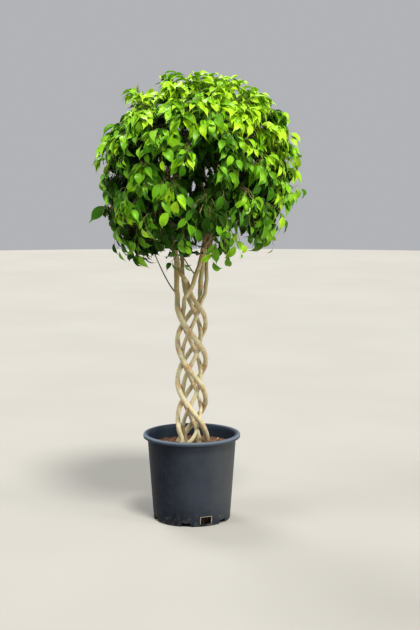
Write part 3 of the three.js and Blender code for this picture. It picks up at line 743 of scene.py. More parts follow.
def pot_plastic():
    """Charcoal moulded plastic, with painted light: lighter towards its right side, and a painted sheen along
    the lip that is brighter on its crest. Faint mottling, fine upright scuffs, dust at the foot, and a pale
    residue round the windows."""
    f = Finish("pot_plastic", 0.07)
    place = f.coordinates()
    x, y, height = f.axes(place)
    from_axis = (x ** 2 + y ** 2) ** 0.5
    mottle = f.noise(place, 14.0, 4.0)
    scuffs = f.noise(f.stretched(place, (260.0, 260.0, 9.0)), 1.0, 2.0)
    foot = 1 - height.above(0.004, 0.045)
    dust = (foot * 0.45 + 0.05) * f.noise(place, 60.0, 5.0, 0.7).above(0.45, 0.3)
    # where the painted sheen and the painted highlight of the lip go
    lip = height.above((POT_HEIGHT - 12.5) * MM, 0.003)
    crest = height.above((POT_HEIGHT - 7.0) * MM, 0.004) * from_axis.above((RIM_RADIUS - 8.5) * MM, 0.0035)
    residue = f.marks("residue")
    outside = (from_axis - height * 0.072).above((FOOT_RADIUS - 2.0) * MM, 0.001)
    # painted light: the outer wall, mottled, is lightened towards its right side, where the light falls
    painted_light_wall = outside * height.above(-0.03, 0.13) * (0.5 + mottle)
    tint = f.coats(CHARCOAL,
                   (mottle.above(0.3, 0.4), MOTTLED),
                   (1 - outside, INNER_WALL),
                   # painted light: lighter towards the right side
                   (x.above(-0.11, 0.13) * painted_light_wall, PAINTED_LIGHT_BLUE),
                   (x.above(0.02, 0.10) * painted_light_wall, PAINTED_LIGHT_GREY),
                   (scuffs.above(0.60, 0.15) * 0.25, SCUFF),
                   # painted sheen on the lip and painted highlight on its crest
                   (lip * (0.3 + mottle * 0.4), LIP_PAINTED_SHEEN),
                   (crest * (0.5 + mottle * 0.6), CREST_PAINTED_HIGHLIGHT),
                   (dust, DUST),
                   (residue.above(0.25, 0.5) * 0.85, RESIDUE))
    rough = 0.36 + mottle * 0.12 + dust * 0.35 + scuffs * 0.06 + residue * 0.3
    pimples = f.noise(place, 900.0, 2.0)
    return f.surface(tint, rough, pimples * 0.6 + scuffs * 0.4, 0.25, 0.0006)


def potting_mix():
    """Dark reddish mix of crumbs and fibres, matt, with painted shade: near black towards the bottom, where
    it shows inside the drain windows.
    """
    f = Finish("potting_mix", 0.2)
    place = f.coordinates()
    coarse = f.noise(place, 90.0, 6.0, 0.7)
    fine = f.noise(place, 420.0, 4.0, 0.7)
    # painted shade: darker below 35 mm, inside the drain windows
    low_shade = 1 - f.axes(place)[2].above(0.035, 0.03)
    tint = f.coats(MIX_DARK,
                   (coarse.above(0.35, 0.3), MIX_RED),
                   (f.cells(place, 260.0).above(0.55, 0.2) * 0.5, MIX_BITS),
                   (low_shade * (1 - coarse.above(0.5, 0.1) * 0.5), MIX_PAINTED_SHADE))
    return f.surface(tint, 0.86 + fine * 0.12, coarse + fine * 0.5, 0.8, 0.003)


def chips():
    """Pale bits of bark and white grit lying in the mix."""
    f = Finish("pale_chips", 0.3)
    place = f.coordinates()
    grain = f.noise(place, 500.0, 4.0)
    patch = f.noise(place, 40.0, 1.0)
    tint = f.coats(CHIP_BROWN,
                   (patch.above(0.46, 0.1), GRIT_WHITE),
                   (grain.above(0.5, 0.3) * 0.4, CHIP_GRAIN))
    return f.surface(tint, 0.75 + grain * 0.2, grain, 0.5, 0.001)


def bark():
    """Smooth fig bark: pale cream low down, and higher up an olive tan that is painted shade under the crown,
    with upright streaks, level scars, small corky pores and a green film in patches, and rusty where two
    stems press."""
    f = Finish("bark", 0.35)
    place = f.coordinates()
    round_and_along = f.coordinates("UV")
    # painted shade: the bark turns olive tan higher up, under the crown
    shade = f.axes(place)[2].above(0.50, 0.36)
    patches = f.noise(place, 26.0)
    blotches = f.noise(place, 75.0, 4.0, 0.65)
    streaks = f.noise(f.stretched(round_and_along, (9.0, 0.8, 1.0)), 1.0, 4.0, 0.65)
    scars = f.noise(f.stretched(round_and_along, (0.8, 5.2, 1.0)), 1.0, 2.0)
    pores = f.cells(f.stretched(round_and_along, (4.5, 6.5, 1.0)), 1.0)
    algae = f.noise(place, 12.0)
    tint = f.coats(CREAM,
                   (shade, OLIVE_PAINTED_SHADE),
                   (patches.above(0.5, 0.2) * 0.5, PALE_PATCH),
                   (algae.above(0.50, 0.12) * 0.5, GREEN_FILM),
                   (blotches.above(0.53, 0.16) * 0.5, BLOTCH),
                   (streaks.above(0.52, 0.2) * 0.35, STREAK),
                   (scars.above(0.64, 0.05) * 0.45, SCAR),
                   ((1 - pores.above(0.10, 0.10)) * 0.45, PORE),
                   (f.marks("pressed") * blotches.above(0.42, 0.2) * 0.75, RUST))
    relief = streaks * 0.5 + blotches * 0.4 + scars.above(0.60, 0.08) * 0.5 - pores.above(0.1, 0.1) * 0.3
    return f.surface(tint, 0.62 + blotches * 0.25, relief, 0.8, 0.0014)


def young_bark():
    """Bark of boughs and twigs: olive brown in patches, with darker level scars."""
    f = Finish("young_bark", 0.35)
    patches = f.noise(f.coordinates(), 70.0, 4.0)
    scars = f.noise(f.stretched(f.coordinates("UV"), (1.0, 9.0, 1.0)), 1.0, 2.0)
    tint = f.coats(TWIG_DARK,
                   (patches.above(0.38, 0.28), TWIG_OLIVE),
                   (scars.above(0.6, 0.06) * 0.5, TWIG_SCAR))
    return f.surface(tint, 0.6 + patches * 0.25, patches + scars, 0.4, 0.0008)


def shade_of(tint, share):
    return tuple(min(1.0, share * part) for part in tint)


def toward(tint, other, share):
    return tuple(mix(part, goal, share) for part, goal in zip(tint, other))


def leaf_green(name, upper, under, gloss):
    """A glossy fig leaf: a paler midrib and faint side veins, mottled green with painted shade that darkens
    it towards the stalk, and a matt paler underside.
    On the unwrapped leaf u runs 0 to 1 across the upper face and 1 to 2 across the lower one, and v
    runs up the blade from 0, with the stalk below 0."""
    f = Finish(name, gloss, LEAF_SHEEN)
    place = f.coordinates()
    u, v, _ = f.axes(f.coordinates("UV"))
    below = u.above(0.999, 0.002)
    across = abs(u.math("FRACT", u) - 0.5) * 2
    rib = 1 - across.above(0.0, 0.12)
    wave = (v - across * 0.22) * 70.0
    vein = wave.math("SINE", wave).above(0.72, 0.28) * (1 - rib)
    stalk = 1 - v.above(-0.02, 0.02)
    # painted shade: the blade darkens towards the stalk, where other leaves would cover it
    foot = 1 - v.above(-0.05, 0.55)
    cloudy = f.noise(place, 30.0, 2.0)
    speckle = f.noise(place, 260.0)
    tint = f.coats(shade_of(upper, 0.80),
                   (cloudy.above(0.32, 0.36), shade_of(upper, 1.22)),
                   (speckle.above(0.5, 0.3) * 0.15, under),
                   # painted shade towards the stalk
                   (foot * 0.55, shade_of(upper, 0.45)),
                   (vein * 0.14 + rib * 0.5, toward(upper, under, 0.7)),
                   (below, under),
                   (stalk * 0.7, toward(upper, STALK_YELLOW, 0.4)))
    rough = 0.29 + below * 0.30 + speckle * 0.10
    return f.surface(tint, rough, rib * 0.8 + vein * 0.3 + speckle * 0.15, 0.35, 0.0006)


def pale_floor():
    f = Finish("pale_floor", 0.15)
    place = f.coordinates()
    grit = f.noise(place, 180.0)
    tint = f.coats(FLOOR_COLOURS[0], (f.noise(place, 0.9, 2.0).above(0.3, 0.4), FLOOR_COLOURS[1]))
    return f.surface(tint, 0.85 + grit * 0.1, grit, 0.1, 0.001)


# Pot

def pot_outer_radius(height):
    return mix(FOOT_RADIUS, WALL_TOP_RADIUS, (height - FOOT_ROUND) / (POT_HEIGHT - FOOT_ROUND))


def arc(centre, radius, start, end, steps):
    """Points of a profile on a circle, as radius from the axis and height."""
    turn = np.radians(np.linspace(start, end, steps))
    return np.stack([centre[0] + radius * np.sin(turn), centre[1] - radius * np.cos(turn)], -1)


def pot_profile():
    """The pot's wall as two lines, outside and inside, row by row: the base, the foot's rounding,
    the tapering wall, and the lip that rolls outwards and down."""
    foot = FOOT_RADIUS - FOOT_ROUND
    foot_out = arc((foot, FOOT_ROUND), FOOT_ROUND, 0, 90, FOOT_STEPS)
    wall_in = pot_outer_radius(BASE_THICKNESS) - POT_WALL
    foot_in = profile(np.linspace(foot, wall_in, FOOT_STEPS) - INNER_FOOT_SHIFT,
                      BASE_THICKNESS + np.linspace(0, INNER_FOOT_RISE, FOOT_STEPS))
    wall_rows = np.array(WALL_ROWS)
    wall_out = profile(pot_outer_radius(wall_rows), wall_rows)
    top = POT_HEIGHT - POT_WALL
    throat = (pot_outer_radius(top) + LIP_BEND, top - LIP_BEND)
    corner = (RIM_RADIUS - POT_WALL - LIP_CORNER, top - LIP_CORNER)
    lip_out, lip_in = [np.concatenate([arc(throat, LIP_BEND + wall, 270, 180, LIP_STEPS),
                                       arc(corner, LIP_CORNER + wall, 180, 90, LIP_STEPS),
                                       profile(RIM_RADIUS - POT_WALL + wall, LIP_ROWS)])
                       for wall in (0.0, POT_WALL)]
    lip_in[-1] -= (LIP_THINNING, 0)
    return (np.concatenate([profile(BASE_ROWS, 0.0), foot_out, wall_out, lip_out]),
            np.concatenate([profile(BASE_ROWS, BASE_THICKNESS), foot_in, wall_out - (POT_WALL, 0), lip_in]))


def pot():
    """Both lines of the profile turned round the axis, as two grids of cells. The cells of the drain
    notches and windows are left out of both, and every edge of what is left, with the lip's lower
    edge, is joined across the wall. A fan closes each grid at the axis."""
    outside, inside = pot_profile()
    rows = len(outside)
    column = np.arange(POT_COLUMNS)
    radius, height = (outside[:-1] + outside[1:]).T[..., None] / 2
    notch = (height < NOTCH_HEIGHT) & (radius > FOOT_RADIUS - NOTCH_DEPTH)
    notch = notch & within(column % NOTCH_REPEAT, *NOTCH_COLUMNS)
    window = within(height, WINDOW_SILL, WINDOW_TOP) & within(column % WINDOW_REPEAT, *WINDOW_COLUMNS)
    kept = ~(notch | window)
    number = np.arange(rows * POT_COLUMNS).reshape(rows, POT_COLUMNS)
    after = np.roll(number, -1, 1)
    shift = number.size
    cells = cells_of(number)[kept]
    faces = [cells, cells[:, ::-1] + shift]
    before = np.roll(kept, 1, 1)
    above = np.pad(kept, ((0, 1), (0, 0)))
    below = np.pad(kept, ((1, 0), (0, 0)), constant_values=True)
    upright, level = (number[:-1], number[1:]), (number, after)
    for (one, other), edge, order in ((upright, kept & ~before, 1), (upright, before & ~kept, -1),
                                      (level, below & ~above, 1), (level, above & ~below, -1)):
        one, other = one[edge], other[edge]
        faces.append(np.stack([one, other, other + shift, one + shift], -1)[:, ::order])
    fans = np.concatenate([fan(2 * shift, number[0], -1), fan(2 * shift + 1, number[0] + shift)])
    grids = [turned(line, POT_COLUMNS, NOTCH_FIRST_ANGLE).reshape(-1, 3) for line in (outside, inside)]
    points = np.concatenate(grids + [[(0, 0, 0), (0, 0, BASE_THICKNESS)]])
    framed = np.zeros((rows, POT_COLUMNS), bool)
    for down, back in ((0, 0), (0, 1), (1, 0), (1, 1)):
        framed[down:rows - 1 + down] |= np.roll(window, back, 1)
    framed &= outside[:, 1:] > WINDOW_SILL
    residue = np.append(np.tile(framed.ravel(), 2), [0, 0])
    thing = piece("nursery_pot", points, [fans, np.concatenate(faces)], finishes=[pot_plastic()], sharp=32,
                  marks=("residue", residue))
    stand_for(thing, "pot_plastic", "pot")


# Soil

def grain(x, y, size, seed):
    """Unevenness of a level surface: chance values on a square lattice, blended smoothly between."""
    column, row = np.floor(x / size), np.floor(y / size)
    p, q = x / size - column, y / size - row
    p, q = p * p * (3 - 2 * p), q * q * (3 - 2 * q)
    corners = [[chance((column + i) * 57.3 + (row + j) * 131.9, seed) for i in (0, 1)] for j in (0, 1)]
    return mix(mix(*corners[0], p), mix(*corners[1], p), q)


def soil_height(x, y):
    """Level round the stems, falling to the wall, with clods and crumbs."""
    reach = np.hypot(x, y)
    edge = pot_outer_radius(SOIL_LEVEL) - POT_WALL
    fall = SOIL_EDGE_DROP * np.clip((reach - SOIL_FLAT_RADIUS) / (edge - SOIL_FLAT_RADIUS), 0, 1)
    clods = sum(height * grain(x, y, size, seed) for height, size, seed in CLODS) - CLOD_MIDDLE
    return SOIL_LEVEL - fall + clods * (1 - CALM_AT_WALL * smooth(reach, edge - CALM_SPAN, edge))


def on_soil(points, lift=0.0):
    """Sets the height of points, in place, to the soil's height there."""
    points[..., 2] = soil_height(points[..., 0], points[..., 1]) + lift
    return points


def soil(finish):
    """A plug: rings from the middle of the uneven top out to the wall, down it and in again."""
    bottom = BASE_THICKNESS + FIT_GAP
    gap = POT_WALL + FIT_GAP
    down = np.array(SOIL_ROWS + (bottom,))
    hollow = np.where(down < SOIL_HOLLOW_TOP, SOIL_HOLLOW, 0)
    top_edge = pot_outer_radius(SOIL_LEVEL - SOIL_EDGE_DROP) - gap
    line = np.concatenate([profile(np.linspace(3, top_edge, SOIL_RINGS), 0.0),
                           profile(pot_outer_radius(down) - gap - hollow, down)])
    points = turned(line, SOIL_COLUMNS)
    on_soil(points[:SOIL_RINGS])
    middle = [(0, 0, soil_height(0.0, 0.0)), (0, 0, bottom)]
    number = np.arange(line.shape[0] * SOIL_COLUMNS).reshape(-1, SOIL_COLUMNS)
    cells = cells_of(number)[..., [0, 3, 2, 1]].reshape(-1, 4)
    fans = np.concatenate([fan(number.size, number[0]), fan(number.size + 1, number[-1], -1)])
    thing = piece("potting_mix_plug", np.concatenate([points.reshape(-1, 3), middle]), [fans, cells],
                  finishes=[finish])
    stand_for(thing, "potting_mix", "soil")


GOLD = (1 + math.sqrt(5)) / 2
LUMP_POINTS = unit(np.array([(-1, GOLD, 0), (1, GOLD, 0), (-1, -GOLD, 0), (1, -GOLD, 0), (0, -1, GOLD),
                             (0, 1, GOLD), (0, -1, -GOLD), (0, 1, -GOLD), (GOLD, 0, -1), (GOLD, 0, 1),
                             (-GOLD, 0, -1), (-GOLD, 0, 1)]))
LUMP_FACES = np.array([(0, 11, 5), (0, 5, 1), (0, 1, 7), (0, 7, 10), (0, 10, 11), (1, 5, 9), (5, 11, 4),
                       (11, 10, 2), (10, 7, 6), (7, 1, 8), (3, 9, 4), (3, 4, 2), (3, 2, 6), (3, 6, 8),
                       (3, 8, 9), (4, 9, 5), (2, 4, 11), (6, 2, 10), (8, 6, 7), (9, 8, 1)])


def lumps(places, sizes, flatness, seed):
    """Small stones and crumbs: twenty-faced balls with each corner pushed in or out by chance,
    flattened, turned about the upright and laid on the soil."""
    corners = len(LUMP_POINTS)
    item = np.arange(len(places))[:, None]
    dent = LUMP_DENT + LUMP_DENT_VARIES * chance(item * corners + np.arange(corners), seed)
    shape = LUMP_POINTS * dent[..., None] * sizes[:, None, None]
    shape[..., 1] *= picked(LUMP_NARROWING, item, seed + 1)
    shape[..., 2] *= flatness
    turn = phase(item, seed + 2)
    x = shape[..., 0] * np.cos(turn) - shape[..., 1] * np.sin(turn)
    y = shape[..., 0] * np.sin(turn) + shape[..., 1] * np.cos(turn)
    points = np.stack([x, y, shape[..., 2]], -1) + places[:, None]
    return points.reshape(-1, 3), [(LUMP_FACES + corners * item[..., None]).reshape(-1, 3)]


def scattered(count, seed, widest):
    """Level places, spread evenly by chance over a disc."""
    item = np.arange(count)
    return around(360 * chance(item, seed + 1), widest * np.sqrt(chance(item, seed)), 0.0)


def loose_lumps(table, large_places=np.empty((0, 3)), large_sizes=()):
    """Lumps of chance sizes all over the soil, and any large ones at their own places."""
    count, widest, smallest, growth, power, flatness, lift, seed = table
    places = on_soil(np.concatenate([scattered(count, seed, widest), large_places]))
    sizes = smallest + growth * chance(np.arange(count), seed + 2) ** power
    return lumps(places + UP * lift, np.append(sizes, large_sizes), flatness, seed + 3)


def fibres_on_soil():
    """Fibres that arch over the soil from end to end, bent aside by chance."""
    item = np.arange(FIBRES)
    middle = on_soil(scattered(FIBRES, FIBRE_SEED, FIBRE_REACH))
    half = FIBRE_HALF + FIBRE_HALF_VARIES * chance(item, FIBRE_SEED + 3)
    heading = around(360 * chance(item, FIBRE_SEED + 2), half, 0.0)
    start, end = [on_soil(middle + heading * side, FIBRE_LIFT) for side in (-1, 1)]
    aside = np.cross(heading, UP) * (chance(item, FIBRE_SEED + 4) - 0.5)[:, None]
    arcs = np.stack([start, middle + aside + UP * FIBRE_ARCH, end], 1)
    paths = curve(arcs, np.linspace(0, 1, FIBRE_RINGS))
    return limbs(paths, np.full(paths.shape[:2], FIBRE_RADIUS), FIBRE_SIDES)


def soil_litter(mix_finish, fibre_finish):
    """Crumbs and chips, with one large chip at its place in the photograph, and fibres."""
    bits = loose_lumps(CHIPS, [LARGE_CHIP], [LARGE_CHIP_SIZE])
    for name, mesh, finish in (("soil_crumbs", loose_lumps(CRUMBS), mix_finish),
                               ("soil_chips", bits, chips()),
                               ("soil_fibres", fibres_on_soil(), fibre_finish)):
        stand_for(piece(name, *mesh, finishes=[finish]), "potting_mix", "soil")


# Stems

def soft_min(value, limit, span):
    return -span * np.log(np.exp(-(value - limit) / span) + 1) + limit


def stem_angle(stem, height):
    lowest, highest = stem["straight"]
    below = soft_min(height, highest, STRAIGHTEN_SPAN)
    turned_by = -soft_min(-below, -lowest, STRAIGHTEN_SPAN) - BRAID_DATUM
    at, width, turn = stem["stray"]
    braided = stem["column"] + stem["hand"] * 360 * turned_by / BRAID_PITCH
    return braided + turn * np.exp(-((height - at) / width) ** 2)


def stem_thickness(stem, height):
    middle = (SOIL_LEVEL + stem["fork"]) / 2
    radius = np.interp(height, [SOIL_LEVEL, middle, stem["fork"]], stem["radii"])
    return radius * (1 + ROOT_FLARE * np.exp(-(height - SOIL_LEVEL) / ROOT_FLARE_HEIGHT))


def crossings(stem):
    """Heights where another stem of the other hand passes, and how far this one steps aside."""
    found = []
    heights = np.arange(SOIL_LEVEL, stem["fork"] + 1)
    for other in STEMS.values():
        if other["hand"] == stem["hand"]:
            continue
        apart = (stem_angle(stem, heights) - stem_angle(other, heights) + 180) % 360 - 180
        passed = ((apart[:-1] < 0) != (apart[1:] < 0)) & (np.abs(apart[:-1]) < CROSSING_SEARCH)
        for height in heights[:-1][passed]:
            room = stem_thickness(stem, height) + stem_thickness(other, height) + CROSSING_GAP
            outside = (height < BRAID_SWAP) == (stem["hand"] < 0)
            found.append((height, room / 2 if outside else -room / 2))
    return found


def stem_points(stem, heights):
    """The stem's middle line: round the axis by the braid, in or out at each crossing, and spreading
    towards the crown."""
    spread = smooth(heights, stem["spread_from"], stem["spread_from"] + SPREAD_SPAN)
    radius = mix(BRAID_RADIUS, stem["top_radius"], spread)
    radius = radius + np.maximum(0, heights - CROWN_SPLAY_START) * CROWN_SPLAY_SLOPE
    for height, shift in crossings(stem):
        away = np.maximum(0, np.abs(heights - height) - CROSSING_HOLD)
        radius = radius + shift * (1 + np.cos(np.pi * np.minimum(1, away / CROSSING_SPAN))) / 2
    return around(stem_angle(stem, heights), radius, heights)


def stems():
    """Each stem is a round limb whose radius is the stem's own taper, times a gentle unevenness,
    lobes at the root flare, low level scars, a swelling where it passes another stem, and a closing
    in over the last stretch, from which the leading bough grows on."""
    finish = bark()
    turn = round_angles(STEM_SIDES)
    for number, (name, stem) in enumerate(STEMS.items()):
        top = stem["fork"]
        heights = np.linspace(SOIL_LEVEL - STEM_SINK, top, STEM_RINGS)
        radius = stem_thickness(stem, np.maximum(heights, SOIL_LEVEL))
        radius = radius * mix(1.0, BOUGH_ROOT_SHARE, smooth(heights, top - STEM_CLOSING, top))
        along = heights[:, None]
        relief = 1 + ripple(turn, along, number)
        lobes = np.cos((3 + number % 2) * turn + phase(number, 8))
        relief = relief + ROOT_LOBE * lobes * np.exp(-np.maximum(0, along - SOIL_LEVEL) / ROOT_LOBE_HEIGHT)
        for k in range(SCARS):
            scar = FIRST_SCAR + SCAR_STEP * k + SCAR_STRAY * chance(number, 20 + k)
            size = SCAR_SWELL + SCAR_SWELL_VARIES * chance(number, 50 + k)
            relief = relief + size * np.exp(-((along - scar) / SCAR_SPAN) ** 2)
        pressed = np.zeros(STEM_RINGS)
        for height, _ in crossings(stem):
            pressed = np.maximum(pressed, np.exp(-((heights - height) / PRESSED_SPAN) ** 2))
        relief = relief + PRESSED_SWELL * pressed[:, None]
        mesh = limbs(*ended(stem_points(stem, heights)[None], radius[None]), STEM_SIDES, relief[None])
        worn = np.repeat(np.append(pressed, [0, 0]), STEM_SIDES)
        thing = piece(name + "_bark", *mesh, finishes=[finish], marks=("pressed", worn))
        stand_for(thing, "bark", name)


# Boughs

def branch(stem_name, height, tip, spread, lead):
    """Start, control and end of a limb that leaves along its stem and bends over to its tip."""
    root, lower = stem_points(STEMS[stem_name], np.array([height, height - TANGENT_STEP]))
    aside = unit((tip - root) * (1, 1, 0))
    ahead = unit(mix(unit(root - lower), aside, spread))
    return root, root + ahead * np.linalg.norm(tip - root) * lead, tip


def swells(headings, table):
    """The sum of round swells and hollows, each given by its angle, elevation, change and width."""
    total = 0
    for angle, elevation, change, width in table:
        away = np.degrees(np.arccos(np.clip(headings @ direction(angle, elevation), -1, 1))) / width
        total = total + change * np.exp(-away ** 2)
    return total


def crown_reach(headings):
    """Distance from the crown's centre to its outside along unit directions: a rounded body, fuller
    below than above, with a few swells and hollows."""
    level = np.hypot(headings[..., 0], headings[..., 1]) / CROWN_RADIUS
    rise = headings[..., 2]
    power = np.where(rise > 0, ROUNDNESS_ABOVE, ROUNDNESS_BELOW)
    half = np.where(rise > 0, CROWN_RISE, CROWN_DROP)
    body = (level ** power + (np.abs(rise) / half) ** power) ** (-1 / power)
    return body * (1 + swells(headings, CROWN_SWELLS))


def crown_point(headings, share):
    return CROWN_CENTRE + headings * (crown_reach(headings) * share)[..., None]


def list_masses():
    names, headings = [], []
    for ring, count, first, elevation in (LOW_RING, HIGH_RING):
        for k in range(count):
            names.append(f"{ring}_{k + 1}")
            headings.append(direction(first + 360.0 / count * k, elevation))
    return names + ["top"], np.array(headings + [UP])


MASSES, MASS_HEADINGS = list_masses()


def bough_arcs():
    """The three points of each bough. A stem's last bough leads on from it, the others fork below."""
    found = []
    for k, bearer in enumerate(BEARERS):
        later = BEARERS[k + 1:].count(bearer)
        height = STEMS[bearer]["fork"] - LEADER_DROP - FORK_STEP * later
        tip = crown_point(MASS_HEADINGS[k], HEART_SHARE)
        found.append(branch(bearer, height, tip, SIDE_SPREAD if later else LEADER_SPREAD, BOUGH_LEAD))
    return np.array(found)


def collared(t, root, tip, swell, length):
    """Radii that taper from root to tip, with a collar that fades out over a length."""
    return mix(root, tip, t) * (1 + swell * np.exp(-t / length))


def boughs(finish):
    """Boughs and side twigs: round limbs that taper, with a collar where they leave their stem."""
    t = np.linspace(0, 1, BOUGH_RINGS)
    paths = curve(bough_arcs(), t)
    root = np.array([BOUGH_ROOT_SHARE * STEMS[name]["radii"][2] for name in BEARERS])[:, None]
    radii = collared(t, root, BOUGH_TIP_RADIUS, *BOUGH_COLLAR)
    mesh = limbs(paths, radii, BOUGH_SIDES, limb_relief(paths, BOUGH_SIDES, 60))
    thing = piece("boughs_bark", *mesh, finishes=[finish])
    stand_for(thing, "young_bark", *[f"bough_{name}" for name in MASSES])
    t = np.linspace(0, 1, SIDE_TWIG_RINGS)
    arcs = np.array([branch(stem, height, np.array(tip), SIDE_SPREAD, SIDE_TWIG_LEAD)
                     for stem, height, tip in SIDE_TWIGS.values()])
    radii = np.tile(collared(t, *SIDE_TWIG_RADII, *SIDE_TWIG_COLLAR), (len(arcs), 1))
    paths, radii = ended(curve(arcs, t), radii)
    mesh = limbs(paths, radii, SIDE_TWIG_SIDES, limb_relief(paths, SIDE_TWIG_SIDES, 80))
    stand_for(piece("side_twigs_bark", *mesh, finishes=[finish]), "young_bark", *SIDE_TWIGS)


# Shoots, sprays and leaves

def spiral(count, lowest):
    """Directions spread evenly along a spiral from the crown's top down to the lowest elevation."""
    index = np.arange(count)
    rise = mix(1, math.sin(math.radians(lowest)), (index + 0.5) / count)
    return direction(GOLDEN_ANGLE * index, np.degrees(np.arcsin(rise)))


def setback_of(headings, index, table, choice):
    """How far inside the crown's outside a shoot ends: by its height, and by chance."""
    rise = headings[:, 2]
    farthest = np.where(rise > 0, table["top"], table["skirt"])
    return mix(table["level"], farthest, np.abs(rise)) + table["spread"] * (chance(index, choice) - 0.5)


def mass_stems():
    """The arc of each mass's stem, which leads on from its bough, and a point inside that bough."""
    _, control, tip = np.moveaxis(bough_arcs(), 1, 0)
    onward = unit(tip - control)
    seat = tip + onward * MASS_STEM_SEAT
    end = crown_point(MASS_HEADINGS, MASS_STEM_END)
    length = np.linalg.norm(end - seat, axis=1)[:, None]
    return np.stack([seat, seat + onward * length / 2, end], 1), tip - onward * MASS_STEM_ROOT


def main_shoots(stem_arcs):
    """The solids' own shoots: each leaves its mass's stem, arches over and droops to its end."""
    index = np.arange(SHOOTS)
    headings = spiral(SHOOTS, LOWEST_SHOOT)
    mass = np.argmax(headings @ MASS_HEADINGS.T, 1)
    end = crown_point(headings, 1 - setback_of(headings, index, SHOOT_SETBACK, 1) / crown_reach(headings))
    turn = np.arccos(np.clip(np.sum(headings * MASS_HEADINGS[mass], 1), -1, 1))
    start = on_curve(stem_arcs[mass], 1 - STEM_SHARE * np.minimum(1, turn / WIDEST_TURN))
    arcs = arched(start, end, SHOOT_BEND, picked(SHOOT_ARCH, index, 2)[:, None])
    return dict(arcs=arcs, mass=mass, heading=headings, parent=index)


def nearest_shoot(shoots, headings):
    return np.argmax(headings @ shoots["heading"].T, 1)


def twigs_on(shoots, parent, place, end, rise, **more):
    """Twigs that leave their shoots at a place along them and arch over to their ends."""
    start = on_curve(shoots["arcs"][parent], np.broadcast_to(place, len(parent)))
    return dict(arcs=arched(start, end, SHOOT_BEND, rise), mass=shoots["mass"][parent], parent=parent, **more)


def sprays(shoots):
    """Finer twigs: each grows from the shoot whose direction is nearest to its own, towards the
    crown's outside or, for a share of them, towards a place deeper in. They stand in clusters, each
    drawn a little towards its shoot's own direction, and are fewer where the photograph is dark."""
    index = np.arange(SPRAYS)
    headings = spiral(SPRAYS, LOWEST_SPRAY)
    kept = chance(index, 16) >= swells(headings, THIN_SPOTS)
    index, headings = index[kept], headings[kept]
    parent = nearest_shoot(shoots, headings)
    headings = unit(mix(headings, shoots["heading"][parent], CLUSTERING))
    inner = np.maximum(0, chance(index, 11) - INNER_SHARE) / (1 - INNER_SHARE)
    setback = setback_of(headings, index, SPRAY_SETBACK, 12) / crown_reach(headings)
    outside = 1 + swells(headings, LEAF_HOLLOWS)
    end = crown_point(headings, outside - setback - SPRAY_DEPTH * inner ** 1.3)
    rise = picked(SPRAY_ARCH, index, 14)[:, None]
    twigs = twigs_on(shoots, parent, picked(SPRAY_STARTS, index, 13), end, rise)
    twigs["arcs"][:, 2, 2] -= picked(SPRAY_DROOP, index, 15) * (1 - np.abs(headings[:, 2]))
    return twigs


def stray_sprays(shoots):
    """Long young twigs that stand out of the crown, each from the nearest shoot. Those in front turn
    their leaves to the front."""
    angles, elevations, shares = np.array(STRAY_SPRAYS, float).T
    headings = direction(angles, elevations)
    in_front = (headings[:, 1:2] < FARTHEST_FACING) & (headings[:, 2:] < HIGHEST_FACING)
    facing = in_front * STRAY_FACING
    return twigs_on(shoots, nearest_shoot(shoots, headings), SPRAY_STARTS[1], crown_point(headings, shares),
                    SPRAY_ARCH[1], facing=facing)


def lone_leaf_twigs(shoots):
    """The twigs of the few large leaves that stand out of the crown, each from the nearest shoot."""
    end, aim, size, bend, front = [np.array(column) for column in zip(*LONE_LEAVES)]
    parent = nearest_shoot(shoots, unit(end - CROWN_CENTRE))
    return twigs_on(shoots, parent, SPRAY_STARTS[1], end, LONE_ARCH, facing=front[:, None] * STRAY_FACING,
                    aim=unit(aim), bend=bend, size=size)


def low_twigs(start, end, rise, **more):
    """Short twigs under the crown, with the mass over them."""
    count = len(start)
    return dict(arcs=arched(start, end, LOW_TWIG_BEND, rise), mass=np.full(count, MASSES.index("low_2")),
                parent=np.zeros(count, int), **more)


def side_twig_sprays():
    """The few leaves of the two side twigs below the crown hang from short twigs at their ends."""
    which, turn, length, rise = np.array(SIDE_SPRAYS).T
    start = np.array([tip for _, _, tip in SIDE_TWIGS.values()])[which]
    return low_twigs(start, start + around(turn, length, rise), SIDE_SPRAY_ARCH)


def stem_sprouts():
    """Short leafy twigs that stand on the stems just under the crown."""
    start = np.concatenate([stem_points(STEMS[name], np.array([height])) for name, height, _ in SPROUTS])
    end = np.array([tip for _, _, tip in SPROUTS])
    return low_twigs(start, end, SPROUT_ARCH, size=np.full(len(SPROUTS), SPROUT_LEAF_SHARE))


